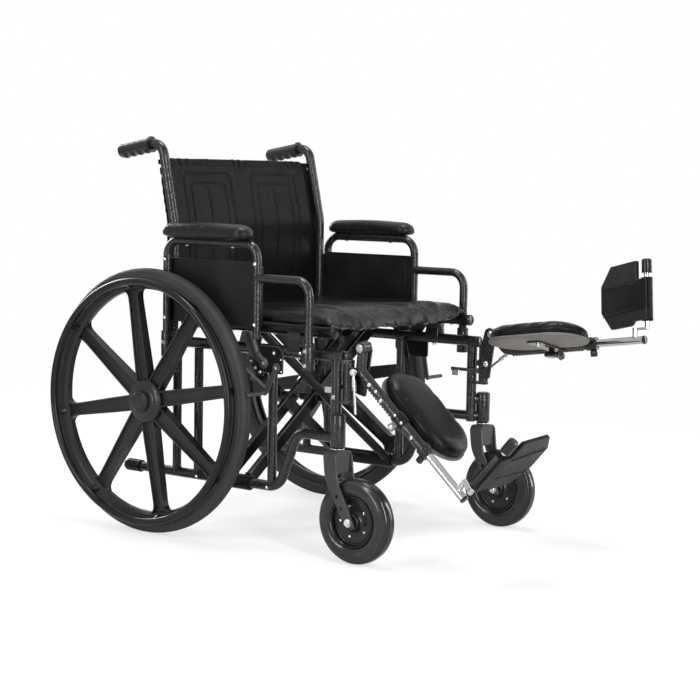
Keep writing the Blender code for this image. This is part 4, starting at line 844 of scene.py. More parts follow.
def wheel_place(side, out=0.0):
    """A place on the wheel's axis, +Z pointing away from the chair."""
    centre = Matrix.Translation(at(side, TRACK_X + out, 0, WHEEL_R))
    return centre @ Matrix.Rotation(side * pi / 2, 4, "Y")


def spoke_turns(side):
    centre = Matrix.Translation(at(side, TRACK_X, 0, WHEEL_R))
    turns = [2 * pi * (spoke + SPOKE_PHASE) / SPOKES for spoke in range(SPOKES)]
    return [centre @ Matrix.Rotation(turn, 4, "X") for turn in turns]


def rear_wheel(word, side):
    """The moulded wheel: ribbed rim, spokes of H section that flare into it, and a stepped hub."""
    bm, body = bmesh.new(), word + "_wheel"
    rim_out = WHEEL_R - TYRE_DEPTH
    rim_in, half = rim_out - RIM_DEPTH, RIM_WIDTH / 2
    rim = [(rim_out, half - 0.003), (rim_out - 0.001, half), (rim_out - 0.0045, half),
           (rim_out - 0.0065, half - 0.0018), (rim_out - 0.0085, half - 0.0018),
           (rim_out - 0.0105, half - 0.001), (rim_in + 0.0045, half - 0.0035),
           (rim_in + 0.0004, half - 0.0075), (rim_in, 0.003)]
    well = [(rim_out - 0.0015, -0.004), (rim_out - 0.0015, 0.004)]
    lathe(bm, rim + mirrored(rim) + well, wheel_place(side), 144, True, 0.0007)
    hub = [(0, HUB_IN), (0.027, HUB_IN), (0.029, HUB_IN + 0.002), (0.031, -0.024), (0.04, -0.016),
           (0.0445, -0.01), (0.0455, 0.002), (0.0475, 0.0075), (0.05, 0.009), (0.05, 0.0125),
           (0.0472, 0.0158), (0.0385, 0.0192), (0.0372, 0.0184), (0.0362, 0.0198), (0.03, 0.0216),
           (0.0262, 0.022), (0, 0.022)]
    lathe(bm, hub, wheel_place(side), 72, fillet=0.001)
    stations = ((0.03, 0.0188, 0.013), (0.055, 0.0186, 0.0129), (0.11, 0.0176, 0.0121),
                (0.17, 0.016, 0.0112), (0.226, 0.0148, 0.0104), (0.24, 0.0151, 0.0102),
                (0.248, 0.017, 0.01), (0.2532, 0.0208, 0.0098), (0.257, 0.027, 0.0096),
                (0.2602, 0.035, 0.0094))
    lip, slope, deep, back = 0.0034, 0.0042, 0.008, 0.006
    for turn in spoke_turns(side):
        rings = []
        for z, wide, tall in stations:
            inside = ((-wide, -tall), (-wide + lip, -tall), (-wide + slope, -tall + back))
            outside = ((wide, tall), (wide - lip, tall), (wide - slope, tall - deep))
            section = (*inside, *((-w, h) for w, h in reversed(inside)),
                       *outside, *((-w, h) for w, h in reversed(outside)))
            rings.append([turn @ Vector((side * out, across, z)) for across, out in section])
        loft(bm, rings, edge=0.0006)
    piece(word + "_wheel_moulding", bm, "wheel_plastic", body, word + "_rear_wheel", sharp=38)

    bm = bmesh.new()
    cap = [(0.0195, GAP), (0.024, GAP), (0.024, 0.0062), (0.0232, 0.0084), (0.0212, 0.0098),
           (0.0196, 0.0103), (0.0188, 0.0102), (0.0183, 0.009), (0.0176, 0.0089), (0.0171, 0.0102),
           (0.0155, 0.011), (0.01, 0.0114), (0, 0.0115)]
    lathe(bm, cap, wheel_place(side, HUB_OUT), 56, fillet=0.0006)
    piece(word + "_hub_cover", bm, "wheel_plastic", body, word + "_hub_cap")

    bm = bmesh.new()
    inner, outer = LOWER_X - AXLE_SLEEVE_IN - GAP, TRACK_X + HUB_OUT + GAP
    cross_pin(bm, side, inner - 0.006, outer + 0.003, 0, WHEEL_R, AXLE_R)
    bolt(bm, at(side, inner, 0, WHEEL_R), (-side, 0, 0), AXLE_R * 1.55, 0.008)
    cross_pin(bm, side, outer, outer + 0.006, 0, WHEEL_R, AXLE_R * 1.6, 6)
    piece(word + "_axle_bolt", bm, "zinc", word + "_side", word + "_rear_axle")


def tyre_profile(bed, outer, half, grooves, cut_depth):
    """A tyre's section, bead to bead round the outside, with grooves at heights across the tread."""
    depth, wide = outer - bed, 0.0009
    wall = ((0, 0.7), (0.1, 0.9), (0.3, 1.0), (0.48, 0.985), (0.6, 0.94))
    crown = []
    for step in range(9):
        turn = radians(18 + 72 * step / 8)
        height = half * 0.97 * cos(turn) ** 0.75 if step < 8 else 0.0
        crown.append((bed + depth * 0.56 + depth * 0.44 * sin(turn), height))
    tread = []
    for (r0, h0), (r1, h1) in zip(crown, crown[1:]):
        tread.append((r0, h0))
        for groove in grooves:
            if h1 < groove <= h0:
                r = r0 + (r1 - r0) * (h0 - groove) / (h0 - h1)
                tread += [(r, groove + wide), (r - cut_depth, groove + wide * 0.5),
                          (r - cut_depth, groove - wide * 0.5), (r, groove - wide)]
    upper = [(bed + depth * r, half * h) for r, h in wall] + sorted(tread, key=lambda item: -item[1])
    return upper + [(outer, 0.0)] + mirrored(upper)


def rear_tyre(word, side):
    bm = bmesh.new()
    profile = tyre_profile(WHEEL_R - TYRE_DEPTH + GAP, WHEEL_R, TYRE_WIDTH / 2, (0.0155, 0.009, 0.0034),
                           0.0011)
    lathe(bm, profile, wheel_place(side), 160, True)
    piece(word + "_tyre", bm, "tyre_rubber", word + "_wheel", word + "_rear_tyre", sharp=40)


def handrim(word, side):
    bm = bmesh.new()
    centre = at(side, TRACK_X + HANDRIM_OUT, 0, WHEEL_R)
    tube(bm, circle(centre, BACK, UP, HANDRIM_R, 128), HANDRIM_TUBE_R, 18, True)
    rim_middle = WHEEL_R - TYRE_DEPTH - RIM_DEPTH / 2 + 0.002
    corners = ((-1, -0.6), (-0.6, -1), (0.6, -1), (1, -0.6), (1, 0.6), (0.6, 1), (-0.6, 1), (-1, 0.6))
    sections = ((0.0, 0.0075, 0.0066), (0.18, 0.0068, 0.006), (0.55, 0.0056, 0.005),
                (1.0, 0.006, 0.005))
    for turn in spoke_turns(side):
        rings = []
        for share, wide, deep in sections:
            out = RIM_WIDTH / 2 + GAP + share * (HANDRIM_OUT - RIM_WIDTH / 2)
            far = rim_middle + share * (HANDRIM_R - rim_middle)
            rings.append([turn @ Vector((side * out, u * wide, far + v * deep)) for u, v in corners])
        loft(bm, rings)
    piece(word + "_push_ring", bm, "rim_plastic", word + "_wheel", word + "_handrim", sharp=38)


# Casters


def caster(word, side):
    swivel, wheel = word + "_caster_swivel", word + "_caster"
    axle, half = at(side, CASTER_X, CASTER_Y, CASTER_R), CASTER_WIDTH / 2
    clear = half + 0.004
    reach, top = clear + FORK_PLATE / 2, HOUSING_BOTTOM_Z - 0.0095
    fall = rounded([(0, STEM_Y, top), (0, STEM_Y - 0.006, top - 0.058), (0, CASTER_Y, CASTER_R)], 0.085,
                   12)
    tip = fall[-1] + (fall[-1] - fall[-2]).normalized() * 0.0135

    def middle(z):
        for first, second in zip(fall, fall[1:] + [tip]):
            if second.z <= z <= first.z:
                return first.y + (second.y - first.y) * (first.z - z) / (first.z - second.z)
        return STEM_Y if z > top - 0.01 else tip.y

    def half_depth(z):
        share = min(1.0, max(0.0, (top - z) / (top - CASTER_R)))
        wide = 0.0168 - 0.004 * max(0.0, share - 0.3) / 0.7
        below = max(0.0, CASTER_R - z)
        return wide * sqrt(max(0.03, 1 - (below / 0.0138) ** 2))

    low = tip.z + 0.0012
    strap = rounded([(-reach, 0, low), (-reach, 0, top), (reach, 0, top), (reach, 0, low)], 0.0125, 8)
    dense = [strap[0]]
    for first, second in zip(strap, strap[1:]):
        count = max(1, int((second - first).length / 0.006))
        dense += [first.lerp(second, (step + 1) / count) for step in range(count)]
    ends = [dense[0].lerp(dense[1], 0.45), dense[-1].lerp(dense[-2], 0.45)]
    dense = [dense[0], ends[0], *dense[1:-1], ends[1], dense[-1]]
    rings = []
    for point, way in zip(dense, path_ways(dense)):
        normal = Vector((way.z, 0, -way.x)) * (FORK_PLATE / 2)
        y, deep = middle(point.z), half_depth(point.z)
        base = Vector((side * CASTER_X + point.x, 0, point.z))
        rings.append([base + normal * a + Vector((0, y + b * deep, 0))
                      for a, b in ((-1, -1), (1, -1), (1, 1), (-1, 1))])
    bm, tool = bmesh.new(), bmesh.new()
    loft(bm, rings, edge=0.0009, over=60)
    across = Vector((0.05, 0, 0))
    for share, forward, radius in ((0.0, 0.0, 0.0052), (0.2, 0.002, 0.0044), (0.365, 0.002, 0.0044)):
        z = CASTER_R + share * (top - CASTER_R)
        spot = Vector((side * CASTER_X, middle(z) + forward, z))
        rod(tool, spot - across, spot + across, radius, edge=0)
    bm = cut(bm, tool)
    web = rounded_ring([at(side, CASTER_X + x, STEM_Y - 0.015, top - drop) for x, drop in (
        (-reach, 0), (reach, 0), (reach, 0.05), (reach - 0.006, 0.046), (0.006 - reach, 0.046),
        (-reach, 0.05))], 0.002, 3)
    plate(bm, web, (0, 0.003, 0))
    rod(bm, stem(side, top - 0.004), stem(side, HOUSING_TOP_Z - 0.012), HOUSING_R * 0.5)
    rod(bm, stem(side, top + 0.002), stem(side, HOUSING_BOTTOM_Z - 0.0045), 0.015, 0.014, 28)
    piece(word + "_fork", bm, "satin_coat", swivel, word + "_caster_fork", sharp=40)

    race = [(0.006, 0), (0.015, 0), (0.015, 0.0018), (0.0118, 0.004), (0.006, 0.004)]
    gathered(word + "_stem_race", "zinc", swivel, lathe,
             (race, facing(stem(side, HOUSING_BOTTOM_Z - 0.0044), UP), 32, True, 0.0005))

    turned = Matrix.Translation(axle) @ Matrix.Rotation(side * pi / 2, 4, "Y")
    face = [(r, half * share) for r, share in (
        (CASTER_RIM_R, 0.8), (0.0545, 0.84), (0.053, 0.8), (0.052, 0.6), (0.05, 0.42), (0.0478, 0.4),
        (0.0462, 0.47), (0.044, 0.47), (0.03, 0.42), (0.0235, 0.42), (0.0205, 0.6), (0.018, 0.86),
        (0.0165, 0.94), (0.0056, 0.94))]
    bm = bmesh.new()
    well = [(CASTER_RIM_R, -0.004), (CASTER_RIM_R, 0.004)]
    lathe(bm, face + mirrored(face) + well, turned, 80, True, 0.0008)
    piece(word + "_caster_centre", bm, "black_plastic", wheel, word + "_caster_wheel")

    heads = []
    for spoke in range(5):
        turn = 2 * pi * spoke / 5 + 0.35
        for way in (1, -1):
            spot = turned @ Vector((0.0345 * cos(turn), 0.0345 * sin(turn), way * half * 0.42))
            heads.append((spot, (side * way, 0, 0), 0.0036, 0.0034, "dome"))
    gathered(word + "_caster_bolts", "zinc", wheel, bolt, *heads)

    bm = bmesh.new()
    profile = tyre_profile(CASTER_RIM_R + GAP, CASTER_R, half, (0.0165, 0.011, 0.0055), 0.0016)
    lathe(bm, profile, turned, 112, True)
    piece(word + "_caster_tread", bm, "caster_rubber", wheel, word + "_caster_tyre", sharp=40)

    bm = bmesh.new()
    reach, out = clear + FORK_PLATE + GAP, Vector((side, 0, 0))
    across = Vector((reach + 0.002, 0, 0))
    rod(bm, axle - across, axle + across, 0.005)
    bolt(bm, axle + out * reach, out, 0.0078, 0.0048)
    bolt(bm, axle - out * reach, -out, 0.0078, 0.0058)
    piece(word + "_caster_bolt", bm, "zinc", swivel, word + "_caster_axle")


# Arms


def arm(word, side):
    body, out = word + "_arm", Vector((side, 0, 0))
    bottom, plug_z, bend_r = SOCKET_BOTTOM_Z + 0.004, UPPER_RAIL_Z + 0.026, 0.036
    front = at(side, ARM_X, ARM_FRONT_Y, ARM_STEP_Z)
    over = [(ARM_REAR_Y, bottom), (ARM_REAR_Y, ARM_TOP_Z), (ARM_FRONT_Y, ARM_TOP_Z),
            (ARM_FRONT_Y, plug_z)]
    step = [(ARM_FRONT_Y, ARM_STEP_Z), (ARM_STEP_Y, ARM_STEP_Z), (ARM_STEP_Y, bottom)]
    bm = bmesh.new()
    for path in (over, step):
        tube(bm, rounded([at(side, ARM_X, y, z) for y, z in path], bend_r, 12), ARM_TUBE_R, 24)
    weld(bm, front, -BACK, ARM_TUBE_R, UP, ARM_TUBE_R, 0.0019)
    for y in (ARM_REAR_Y, ARM_STEP_Y):
        stop = facing(at(side, ARM_X, y, SOCKET_TOP_Z + GAP), UP)
        collar(bm, stop, ARM_TUBE_R, SOCKET_R, 0.0067, 0.0008)
    piece(word + "_arm_tubes", bm, "vein_coat", body, word + "_arm_frame")

    gathered(word + "_arm_plug", "black_plastic", body, plug,
             (at(side, ARM_X, ARM_FRONT_Y, plug_z), -UP, ARM_TUBE_R))
    under, face = ARM_TOP_Z - ARM_TUBE_R + 0.0004, ARM_X + ARM_TUBE_R - 0.0005
    gathered(word + "_arm_bolts", "zinc", body, bolt,
             *((at(side, ARM_X, y, under), -UP, 0.0042, 0.0026, "dome") for y in (-0.085, -0.222)),
             *((at(side, face, y, z), out, 0.0044, 0.0028, "dome")
               for y in (ARM_REAR_Y, ARM_FRONT_Y)
               for z in (PANEL_BOTTOM_Z + 0.008, PANEL_TOP_Z - 0.004)))

    def panel(x, thick, inset, low, high, radius, edge):
        rear, front = ARM_REAR_Y + 0.006 - inset, ARM_FRONT_Y - 0.006 + inset
        spots = ((rear, low), (rear, high), (front, high), (front, low))
        corners = [at(side, x, y, z) for y, z in spots]
        plate(bm, rounded_ring(corners, radius, 6), (-side * thick, 0, 0), edge=edge)

    inner = ARM_X - ARM_TUBE_R - GAP
    bm = bmesh.new()
    panel(inner, PANEL_THICK, 0.0, PANEL_BOTTOM_Z, PANEL_TOP_Z, 0.014, 0.0006)
    panel(inner - PANEL_THICK, 0.0006, 0.022, PANEL_BOTTOM_Z + 0.014, PANEL_TOP_Z - 0.012, 0.01, 0.0003)
    piece(word + "_side_guard", bm, "panel_plastic", body, word + "_skirt_panel")


# Padded pieces


def stadium(half_length, half_width, height, steps=14):
    ring = []
    for end in (1, -1):
        for step in range(steps + 1):
            turn = pi * step / steps - pi / 2
            reach = half_length - half_width + half_width * cos(turn)
            ring.append(Vector((end * reach, end * half_width * sin(turn), height)))
    return ring


def smoothed(bm, factor):
    bmesh.ops.smooth_vert(bm, verts=bm.verts, factor=factor, use_axis_x=True, use_axis_y=True,
                          use_axis_z=True)


def swollen(bm, voxel, reach, pressure=4.0, frames=20):
    """A padded form remeshed and filled out by cloth simulation, then subdivided once."""
    thing = link_mesh("padding", bm)
    remesh = thing.modifiers.new("voxels", "REMESH")
    remesh.mode, remesh.voxel_size = "VOXEL", voxel
    mesh = evaluated(thing)
    thing = bpy.data.objects.new("padding", mesh)
    scene.collection.objects.link(thing)
    cloth = thing.modifiers.new("filling", "CLOTH")
    cloth.settings.quality = 4
    cloth.settings.use_pressure = True
    cloth.settings.uniform_pressure_force = pressure
    cloth.settings.effector_weights.gravity = 0.0
    cloth.settings.tension_stiffness = cloth.settings.compression_stiffness = 12.0
    cloth.settings.bending_stiffness = 0.6
    cloth.point_cache.frame_start, cloth.point_cache.frame_end = 1, frames
    for step in range(1, frames + 1):
        scene.frame_set(step)
    done = thing.evaluated_get(bpy.context.evaluated_depsgraph_get()).data
    for vert, new in zip(mesh.vertices, [vert.co.copy() for vert in done.vertices]):
        move = new - vert.co
        vert.co += move * min(1.0, reach / max(move.length, 1e-9))
    thing.modifiers.remove(cloth)
    scene.frame_set(1)
    bpy.data.objects.remove(thing)
    result = reopened(mesh)
    smoothed(result, 0.4)
    bmesh.ops.subdivide_edges(result, edges=result.edges, cuts=1, use_grid_fill=True, smooth=0.0)
    for _ in range(4):
        smoothed(result, 0.5)
    return result


def pad(name, surface, body, node_name, half_length, half_width, levels, place, grooves, droop, reach):
    """A crowned pad with rounded ends; levels are (inset, height), and grooves are seam heights."""
    bm = bmesh.new()
    loft(bm, [stadium(half_length - inset, half_width - inset, height) for inset, height in levels])
    top = levels[-1][1]
    for vert in bm.verts:
        if vert.co.z > top * 0.35:
            vert.co.z -= droop * (abs(vert.co.x) / half_length) ** 3.2 * (vert.co.z / top)
    soft = swollen(bm, 0.004, reach)
    seam = soft.verts.layers.float.new("seam")
    for vert in soft.verts:
        x, y, z = vert.co
        near = max(bell(z - height, 0.0013) for height in grooves)
        edge = 1.0 if vert.normal.z < 0.75 and z > 0.002 else 0.0
        wrinkle = wave(x * 60, y * 60, z * 9) * 0.00045 * edge
        vert.co -= Vector((x, y, 0)).normalized() * (0.0013 * near * edge) - vert.normal * wrinkle
        vert[seam] = near * edge
    bmesh.ops.transform(soft, matrix=place, verts=soft.verts)
    bmesh.ops.recalc_face_normals(soft, faces=soft.faces)
    thing = piece(name, soft, surface, body, node_name, sharp=80)


def arm_pad(word, side):
    spot = at(side, PAD_X, PAD_REAR_Y - PAD_LENGTH / 2, ARM_TOP_Z + ARM_TUBE_R + GAP)
    levels = [(0.0016 + inset, height * 0.97) for inset, height in (
        (0.0045, 0.0), (0.001, 0.002), (0.0, 0.006), (0.0, 0.0165), (0.0008, 0.02), (0.0032, 0.024),
        (0.0075, 0.028), (0.013, 0.031), (0.0195, 0.033), (0.026, 0.0338))]
    pad(word + "_arm_cushion", "pad_vinyl", word + "_arm", word + "_arm_pad", PAD_LENGTH / 2,
        PAD_WIDTH / 2, levels, Matrix.Translation(spot) @ Matrix.Rotation(pi / 2, 4, "Z"), (0.0172,),
        0.006, 0.004)


def calf_place(word, side):
    """The pad's place, its height over the leg and the place that turns with the pad."""
    axis = Matrix.Translation((LEG_X, 0, -LEG_TUBE_OFFSET))
    swung = axis @ Matrix.Rotation(radians(CALF_TURNS[word]), 4, "Y") @ axis.inverted()
    place = leg_place(side, LEG_ANGLES[word]) @ swung
    turn = Matrix(((0, -1, 0, 0), (1, 0, 0, 0), (0, 0, 1, 0), (0, 0, 0, 1)))
    low = -LEG_TUBE_OFFSET + CALF_HEIGHT - CALF_THICK / 2
    return place @ Matrix.Translation((CALF_X, CALF_CENTRE, low)) @ turn, low, place


def calf_pad(word, side):
    place = calf_place(word, side)[0]
    half_length, half_width = CALF_LENGTH / 2, CALF_WIDTH / 2
    levels = [(0.0014 + inset, height) for inset, height in (
        (0.003, 0.0066), (0.0006, 0.0078), (0.0, 0.01), (0.0, 0.0165), (0.0014, 0.0186),
        (0.0012, 0.0204), (0.004, 0.0248), (0.01, 0.0296), (0.018, 0.0328), (0.03, 0.0346),
        (0.046, 0.0354), (0.062, 0.0356))]
    pad(word + "_calf_cushion", "shaded_calf_vinyl", word + "_calf", word + "_calf_pad", half_length,
        half_width, levels, place, (0.0112, 0.0192), 0.003, 0.004)
    rings = [stadium(half_length - inset, half_width - inset, height, 20) for inset, height in (
        (0.006, 0.0), (0.0028, 0.0003), (0.0015, 0.0018), (0.0015, 0.005), (0.003, 0.0064),
        (0.006, 0.0066))]
    gathered(word + "_calf_board", "board", word + "_calf", loft, (rings, place))


def sling(columns, rows, spot):
    """Two fine sheets, their points put at spot(u, v), and the set of the second sheet's points."""
    bm = bmesh.new()
    made = bmesh.ops.create_grid(bm, x_segments=columns, y_segments=rows, size=0.5)
    for vert in made["verts"]:
        vert.co = Vector(spot(vert.co.x * 2, vert.co.y + 0.5))
    return bm, set(doubled(bm))


def seat():
    """The seat sling: padded between the rails, puckered and rolled over at the front."""
    half, base = FRAME_X + SEAT_OVERHANG, SEAT_RAIL_Z + FRAME_TUBE_R + GAP
    deep = SEAT_FRONT_Y - SEAT_REAR_Y
    bm, tops = sling(68, 54, lambda u, v: (half * 0.99 * u, SEAT_REAR_Y + deep * v, 0))
    for vert in bm.verts:
        u, v = vert.co.x / half, (vert.co.y - SEAT_REAR_Y) / deep
        sag = 0.006 * max(0.0, 1 - (u / 0.88) ** 2) * (1 - 0.4 * v)
        between = max(0.0, 1 - (abs(vert.co.x) / 0.246) ** 10)
        roll = max(0.0, (v - 0.9) / 0.1)
        edge = max(0.0, (1 - abs(u) ** 8) * (1 - abs(2 * v - 1) ** 12))
        low = base - sag - 0.013 * roll ** 1.5 * between
        if vert in tops:
            vert.co.z = low + 0.0035 + (SEAT_THICK - 0.0065) * edge ** 0.5 * (1 - 0.25 * roll)
        else:
            vert.co.z = low
            vert.co.x *= 0.985
    soft = swollen(bm, 0.005, 0.006, 3.0)
    seam = soft.verts.layers.float.new("seam")
    for vert in soft.verts:
        x, y = vert.co.x, vert.co.y
        u, v = x / half, min(1.0, max(0.0, (y - SEAT_REAR_Y) / deep))
        front = max(0.0, (v - 0.18) / 0.82)
        open_side = 1 - abs(u) ** 6
        fan = x * (1.0 + 0.35 * (1 - v)) + wave(x * 3.0, y * 4.0, 3.1) * 0.026
        ridge = bell(wave(fan * 17.0, y * 3.4, 5.3), 1 / 4.2) * front ** 0.9
        tuck = bell(wave(fan * 31.0, y * 7.0, 9.2), 1 / 4.0) * front ** 2.2
        move = 0.0056 * wave(fan * 8.0, y * 3.2, 0.7) + 0.0084 * ridge + 0.0056 * tuck - 0.003
        near_front = max(0.0, (v - 0.86) / 0.14)
        upper = max(0.0, vert.normal.z, near_front * 0.7)
        vert.co.z += open_side * (move * upper - 0.0022 * near_front)
        vert.co.y += open_side * near_front * (0.007 * ridge + 0.005 * tuck - 0.003)
        groove = bell(y - (SEAT_FRONT_Y + 0.03), 0.0022) * (abs(u) < 0.93)
        mark = max(groove, bell(abs(x) - (FRAME_X - 0.018), 0.002)) * (vert.normal.z > 0.3)
        vert.co.z -= 0.0011 * mark
        vert[seam] = mark * 0.8
    bmesh.ops.recalc_face_normals(soft, faces=soft.faces)
    thing = piece("seat_sling", soft, "vinyl", "seat", "seat_upholstery", sharp=80)
    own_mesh(thing)


# Creases pulled down from the back's top hem: place across, lean, length and depth
BACK_CREASES = (
    (-0.232, 0.35, 0.022, 0.0036), (-0.205, 0.1, 0.026, 0.0034), (-0.176, -0.1, 0.018, 0.0026),
    (-0.108, 0.12, 0.014, 0.0018), (-0.012, 0.1, 0.034, 0.0034), (0.01, -0.06, 0.044, 0.0032),
    (0.118, 0.1, 0.016, 0.002), (0.19, 0.12, 0.024, 0.0028), (0.214, -0.16, 0.03, 0.0036),
    (0.238, -0.3, 0.024, 0.0034),
)
# The two stitched frames of each quilted panel: half width, bottom, top, corner radius and strength
BACK_FRAMES = ((0.084, 0.54, 0.828, 0.02, 1.0), (0.061, 0.563, 0.805, 0.014, 0.9))


def stitches(x, z):
    """How strongly the back's stitching marks a point."""
    mark = 0.8 * bell(max(0.0, BACK_TOP_Z - z) - 0.02, 0.0018)
    for centre in (-0.12, 0.12):
        for wide, low, high, round_r, weight in BACK_FRAMES:
            across = abs(x - centre) - (wide - round_r)
            up = abs(z - (low + high) / 2) - ((high - low) / 2 - round_r)
            away = hypot(max(across, 0), max(up, 0)) + min(max(across, up), 0) - round_r
            mark = max(mark, weight * bell(away, 0.0019))
        if 0.566 < z < 0.797:
            mark = max(mark, 0.9 * bell(x - centre, 0.0019))
    return mark


def back_rest():
    """The back sling: two quilted panels, drawn into creases along the top hem."""
    half, tall = CANE_X + BACK_OVERHANG, BACK_TOP_Z - BACK_BOTTOM_Z

    def spot(u, v):
        return half * 0.992 * u, 0, BACK_BOTTOM_Z + 0.002 + (tall - 0.004) * v

    bm, rears = sling(70, 44, spot)
    for vert in bm.verts:
        u, v = vert.co.x / half, (vert.co.z - BACK_BOTTOM_Z) / tall
        thick = BACK_THICK * (0.5 + 0.5 * (1 - abs(u) ** 6)) * (0.6 + 0.4 * (1 - abs(2 * v - 1) ** 6))
        vert.co.y = back_face(u, vert.co.z) + 0.0012 + (thick - 0.0026 if vert in rears else 0.0)
    soft = swollen(bm, 0.0047, 0.004, 3.0)
    seam = soft.verts.layers.float.new("seam")
    for vert in soft.verts:
        x, z = vert.co.x, vert.co.z
        front, rear = max(0.0, -vert.normal.y), max(0.0, vert.normal.y)
        below = max(0.0, BACK_TOP_Z - z)
        between = 1 - min(1.0, abs(x / half) / 0.95) ** 8
        sway = wave(x * 5.0, z * 3.0, 1.7) * 0.02
        pull, dip = wave((x + sway) * 9.0, z * 4.0, 6.4) * 0.003 * exp(-below / 0.2), 0.0
        for near, lean, long_way, strong in BACK_CREASES:
            away = x - near - lean * below + sway * 0.3
            shape = bell(away, 0.0062) - 0.5 * bell(away - 0.014, 0.0085)
            dip += strong * shape * exp(-below / long_way)
        low_crease = bell(wave((x + sway) * 26.0, z * 3.0, 2.2), 1 / 4.0)
        pull += low_crease * exp(-(z - BACK_BOTTOM_Z) / 0.045) * 0.003
        mark = stitches(x, z)
        vert.co.y += between * (pull + dip) * (rear - front) + 0.0016 * mark * (front - 0.7 * rear)
        vert.co.z += between * 0.7 * dip * exp(-below / 0.012)
        vert[seam] = mark * max(front, rear)
    bmesh.ops.recalc_face_normals(soft, faces=soft.faces)
    thing = piece("back_sling", soft, "shaded_back_vinyl", "right_side", "back_upholstery", sharp=80)
    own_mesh(thing)


def back_face(u, z):
    """How far back the sling's front stands at a height, u being 0 in the middle and 1 at the edge."""
    above = z - CANE_BEND_Z
    rise = max(0.0, above) if abs(above) > BEND_REACH else (above + BEND_REACH) ** 2 / (4 * BEND_REACH)
    v = (z - BACK_BOTTOM_Z) / (BACK_TOP_Z - BACK_BOTTOM_Z)
    bow = BACK_SAG * max(0.0, 1 - (u / 0.9) ** 2) * (0.75 + 0.25 * sin(pi * min(1, max(0, v))))
    return CANE_Y + rise * tan(CANE_LEAN) + CANE_R / cos(CANE_LEAN if above > 0 else 0.0) + GAP + bow


# Braces and brakes


def brace(name, rail_side, ys, round_member, node_name, body):
    top_x, low_x = rail_side * FRAME_X, -rail_side * LOWER_X
    rear, front = (Vector((top_x, y, SEAT_RAIL_Z)) for y in (SEAT_RAIL_REAR_Y, SEAT_RAIL_FRONT_Y))
    bm = bmesh.new()
    rod(bm, rear, front, FRAME_TUBE_R, steps=28)
    sleeve = facing(Vector((low_x, min(ys) - 0.012, LOWER_RAIL_Z)), BACK)
    collar(bm, sleeve, LOWER_TUBE_R + 0.001, SLEEVE_R, max(ys) - min(ys) + 0.024, 0.001, 36)
    for y, is_round in zip(ys, round_member):
        top, low = Vector((top_x, y, SEAT_RAIL_Z)), Vector((low_x, y, LOWER_RAIL_Z))
        way = (top - low).normalized()
        start, end = low + way * 0.014, top - way * 0.006
        ends = ((top, -way, FRAME_TUBE_R), (low, way, SLEEVE_R))
        if is_round:
            rod(bm, start, end, STRUT_R, steps=24)
            for foot, toward, radius in ends:
                weld(bm, foot, toward, STRUT_R, BACK, radius)
            continue
        bar(bm, start, end, MEMBER_WIDTH, MEMBER_DEPTH, 0.0022)
        across, wide = BACK.cross(way).normalized() * (MEMBER_DEPTH / 2), BACK * (MEMBER_WIDTH / 2)
        for foot, toward, radius in ends:
            corners = [foot + toward * radius * 0.82 + across * a + wide * b
                       for a, b in ((1, 1), (1, -1), (-1, -1), (-1, 1))]
            tube(bm, rounded_ring(corners, 0.002, 3), 0.0016, 8, True)
    piece(name, bm, "brace_coat", body, node_name)
    gathered(name + "_plugs", "black_plastic", body, plug,
             (front, -BACK, FRAME_TUBE_R + 0.0008, 0.0045), (rear, BACK, FRAME_TUBE_R - 0.0004))
    under = Vector((0, 0, 0.0004 - FRAME_TUBE_R))
    gathered(name + "_screws", "zinc", body, bolt,
             *((rear.lerp(front, share) + under, -UP, 0.004, 0.0024, "dome")
               for share in (0.1, 0.34, 0.62, 0.88)))


def centre_bolt():
    z = LOWER_RAIL_Z + (SEAT_RAIL_Z - LOWER_RAIL_Z) * LOWER_X / (LOWER_X + FRAME_X)
    front = OUTER_MEMBER_YS[0] - STRUT_R - GAP
    rear = OUTER_MEMBER_YS[1] + MEMBER_WIDTH / 2 + GAP
    bm = bmesh.new()
    rod(bm, (0, front - 0.003, z), (0, rear + 0.004, z), 0.005)
    bolt(bm, (0, front, z), -BACK, 0.0078, 0.0054)
    bolt(bm, (0, rear, z), BACK, 0.0078, 0.0058)
    piece("brace_bolt", bm, "zinc", "left_brace", "centre_bolt")
    gathered("brace_spacers", "brace_coat", "left_brace", rod,
             *(((0, y - 0.0085, z), (0, y + 0.0085, z), 0.0085) for y in (-0.2465, -0.1925, -0.1385)))


def rail_saddle(word, side):
    """The block of H section that the seat rail drops into."""
    rail, wide, waist = FRAME_TUBE_R + GAP, 0.015, 0.0128
    low, high = UPPER_RAIL_Z + 0.002, SEAT_RAIL_Z - 0.002
    start = asin(0.002 / rail)

    def bed(centre_z, first):
        turns = [first - start - (pi - 2 * start) * step / 14 for step in range(15)]
        return [(rail * cos(turn), centre_z + rail * sin(turn)) for turn in turns]

    flank = [(wide, low), (wide, low + 0.016), (waist, low + 0.02), (waist, low + 0.026),
             (wide, low + 0.03), (wide, high)]
    outline = bed(SEAT_RAIL_Z, 0.0) + [(-x, z) for x, z in reversed(flank)]
    outline += bed(UPPER_RAIL_Z, pi) + flank
    bm = bmesh.new()
    plate(bm, [at(side, FRAME_X + x, SADDLE_Y - 0.018, z) for x, z in outline], (0, 0.036, 0))
    piece(word + "_saddle_block", bm, "black_plastic", word + "_side", word + "_rail_saddle")


def star_knob(name, place, radius, height, body):
    """A moulded knob with six lobes on a short stem."""
    profile = ((0.0, 0.46), (0.26, 0.48), (0.34, 0.88), (0.52, 1.0), (0.84, 1.0), (1.0, 0.82))
    rings = [lobed(radius * out, height * share, 6, 0.13 * (share > 0.3), 48) for share, out in profile]
    gathered(name, "black_plastic", body, loft, (rings, place))


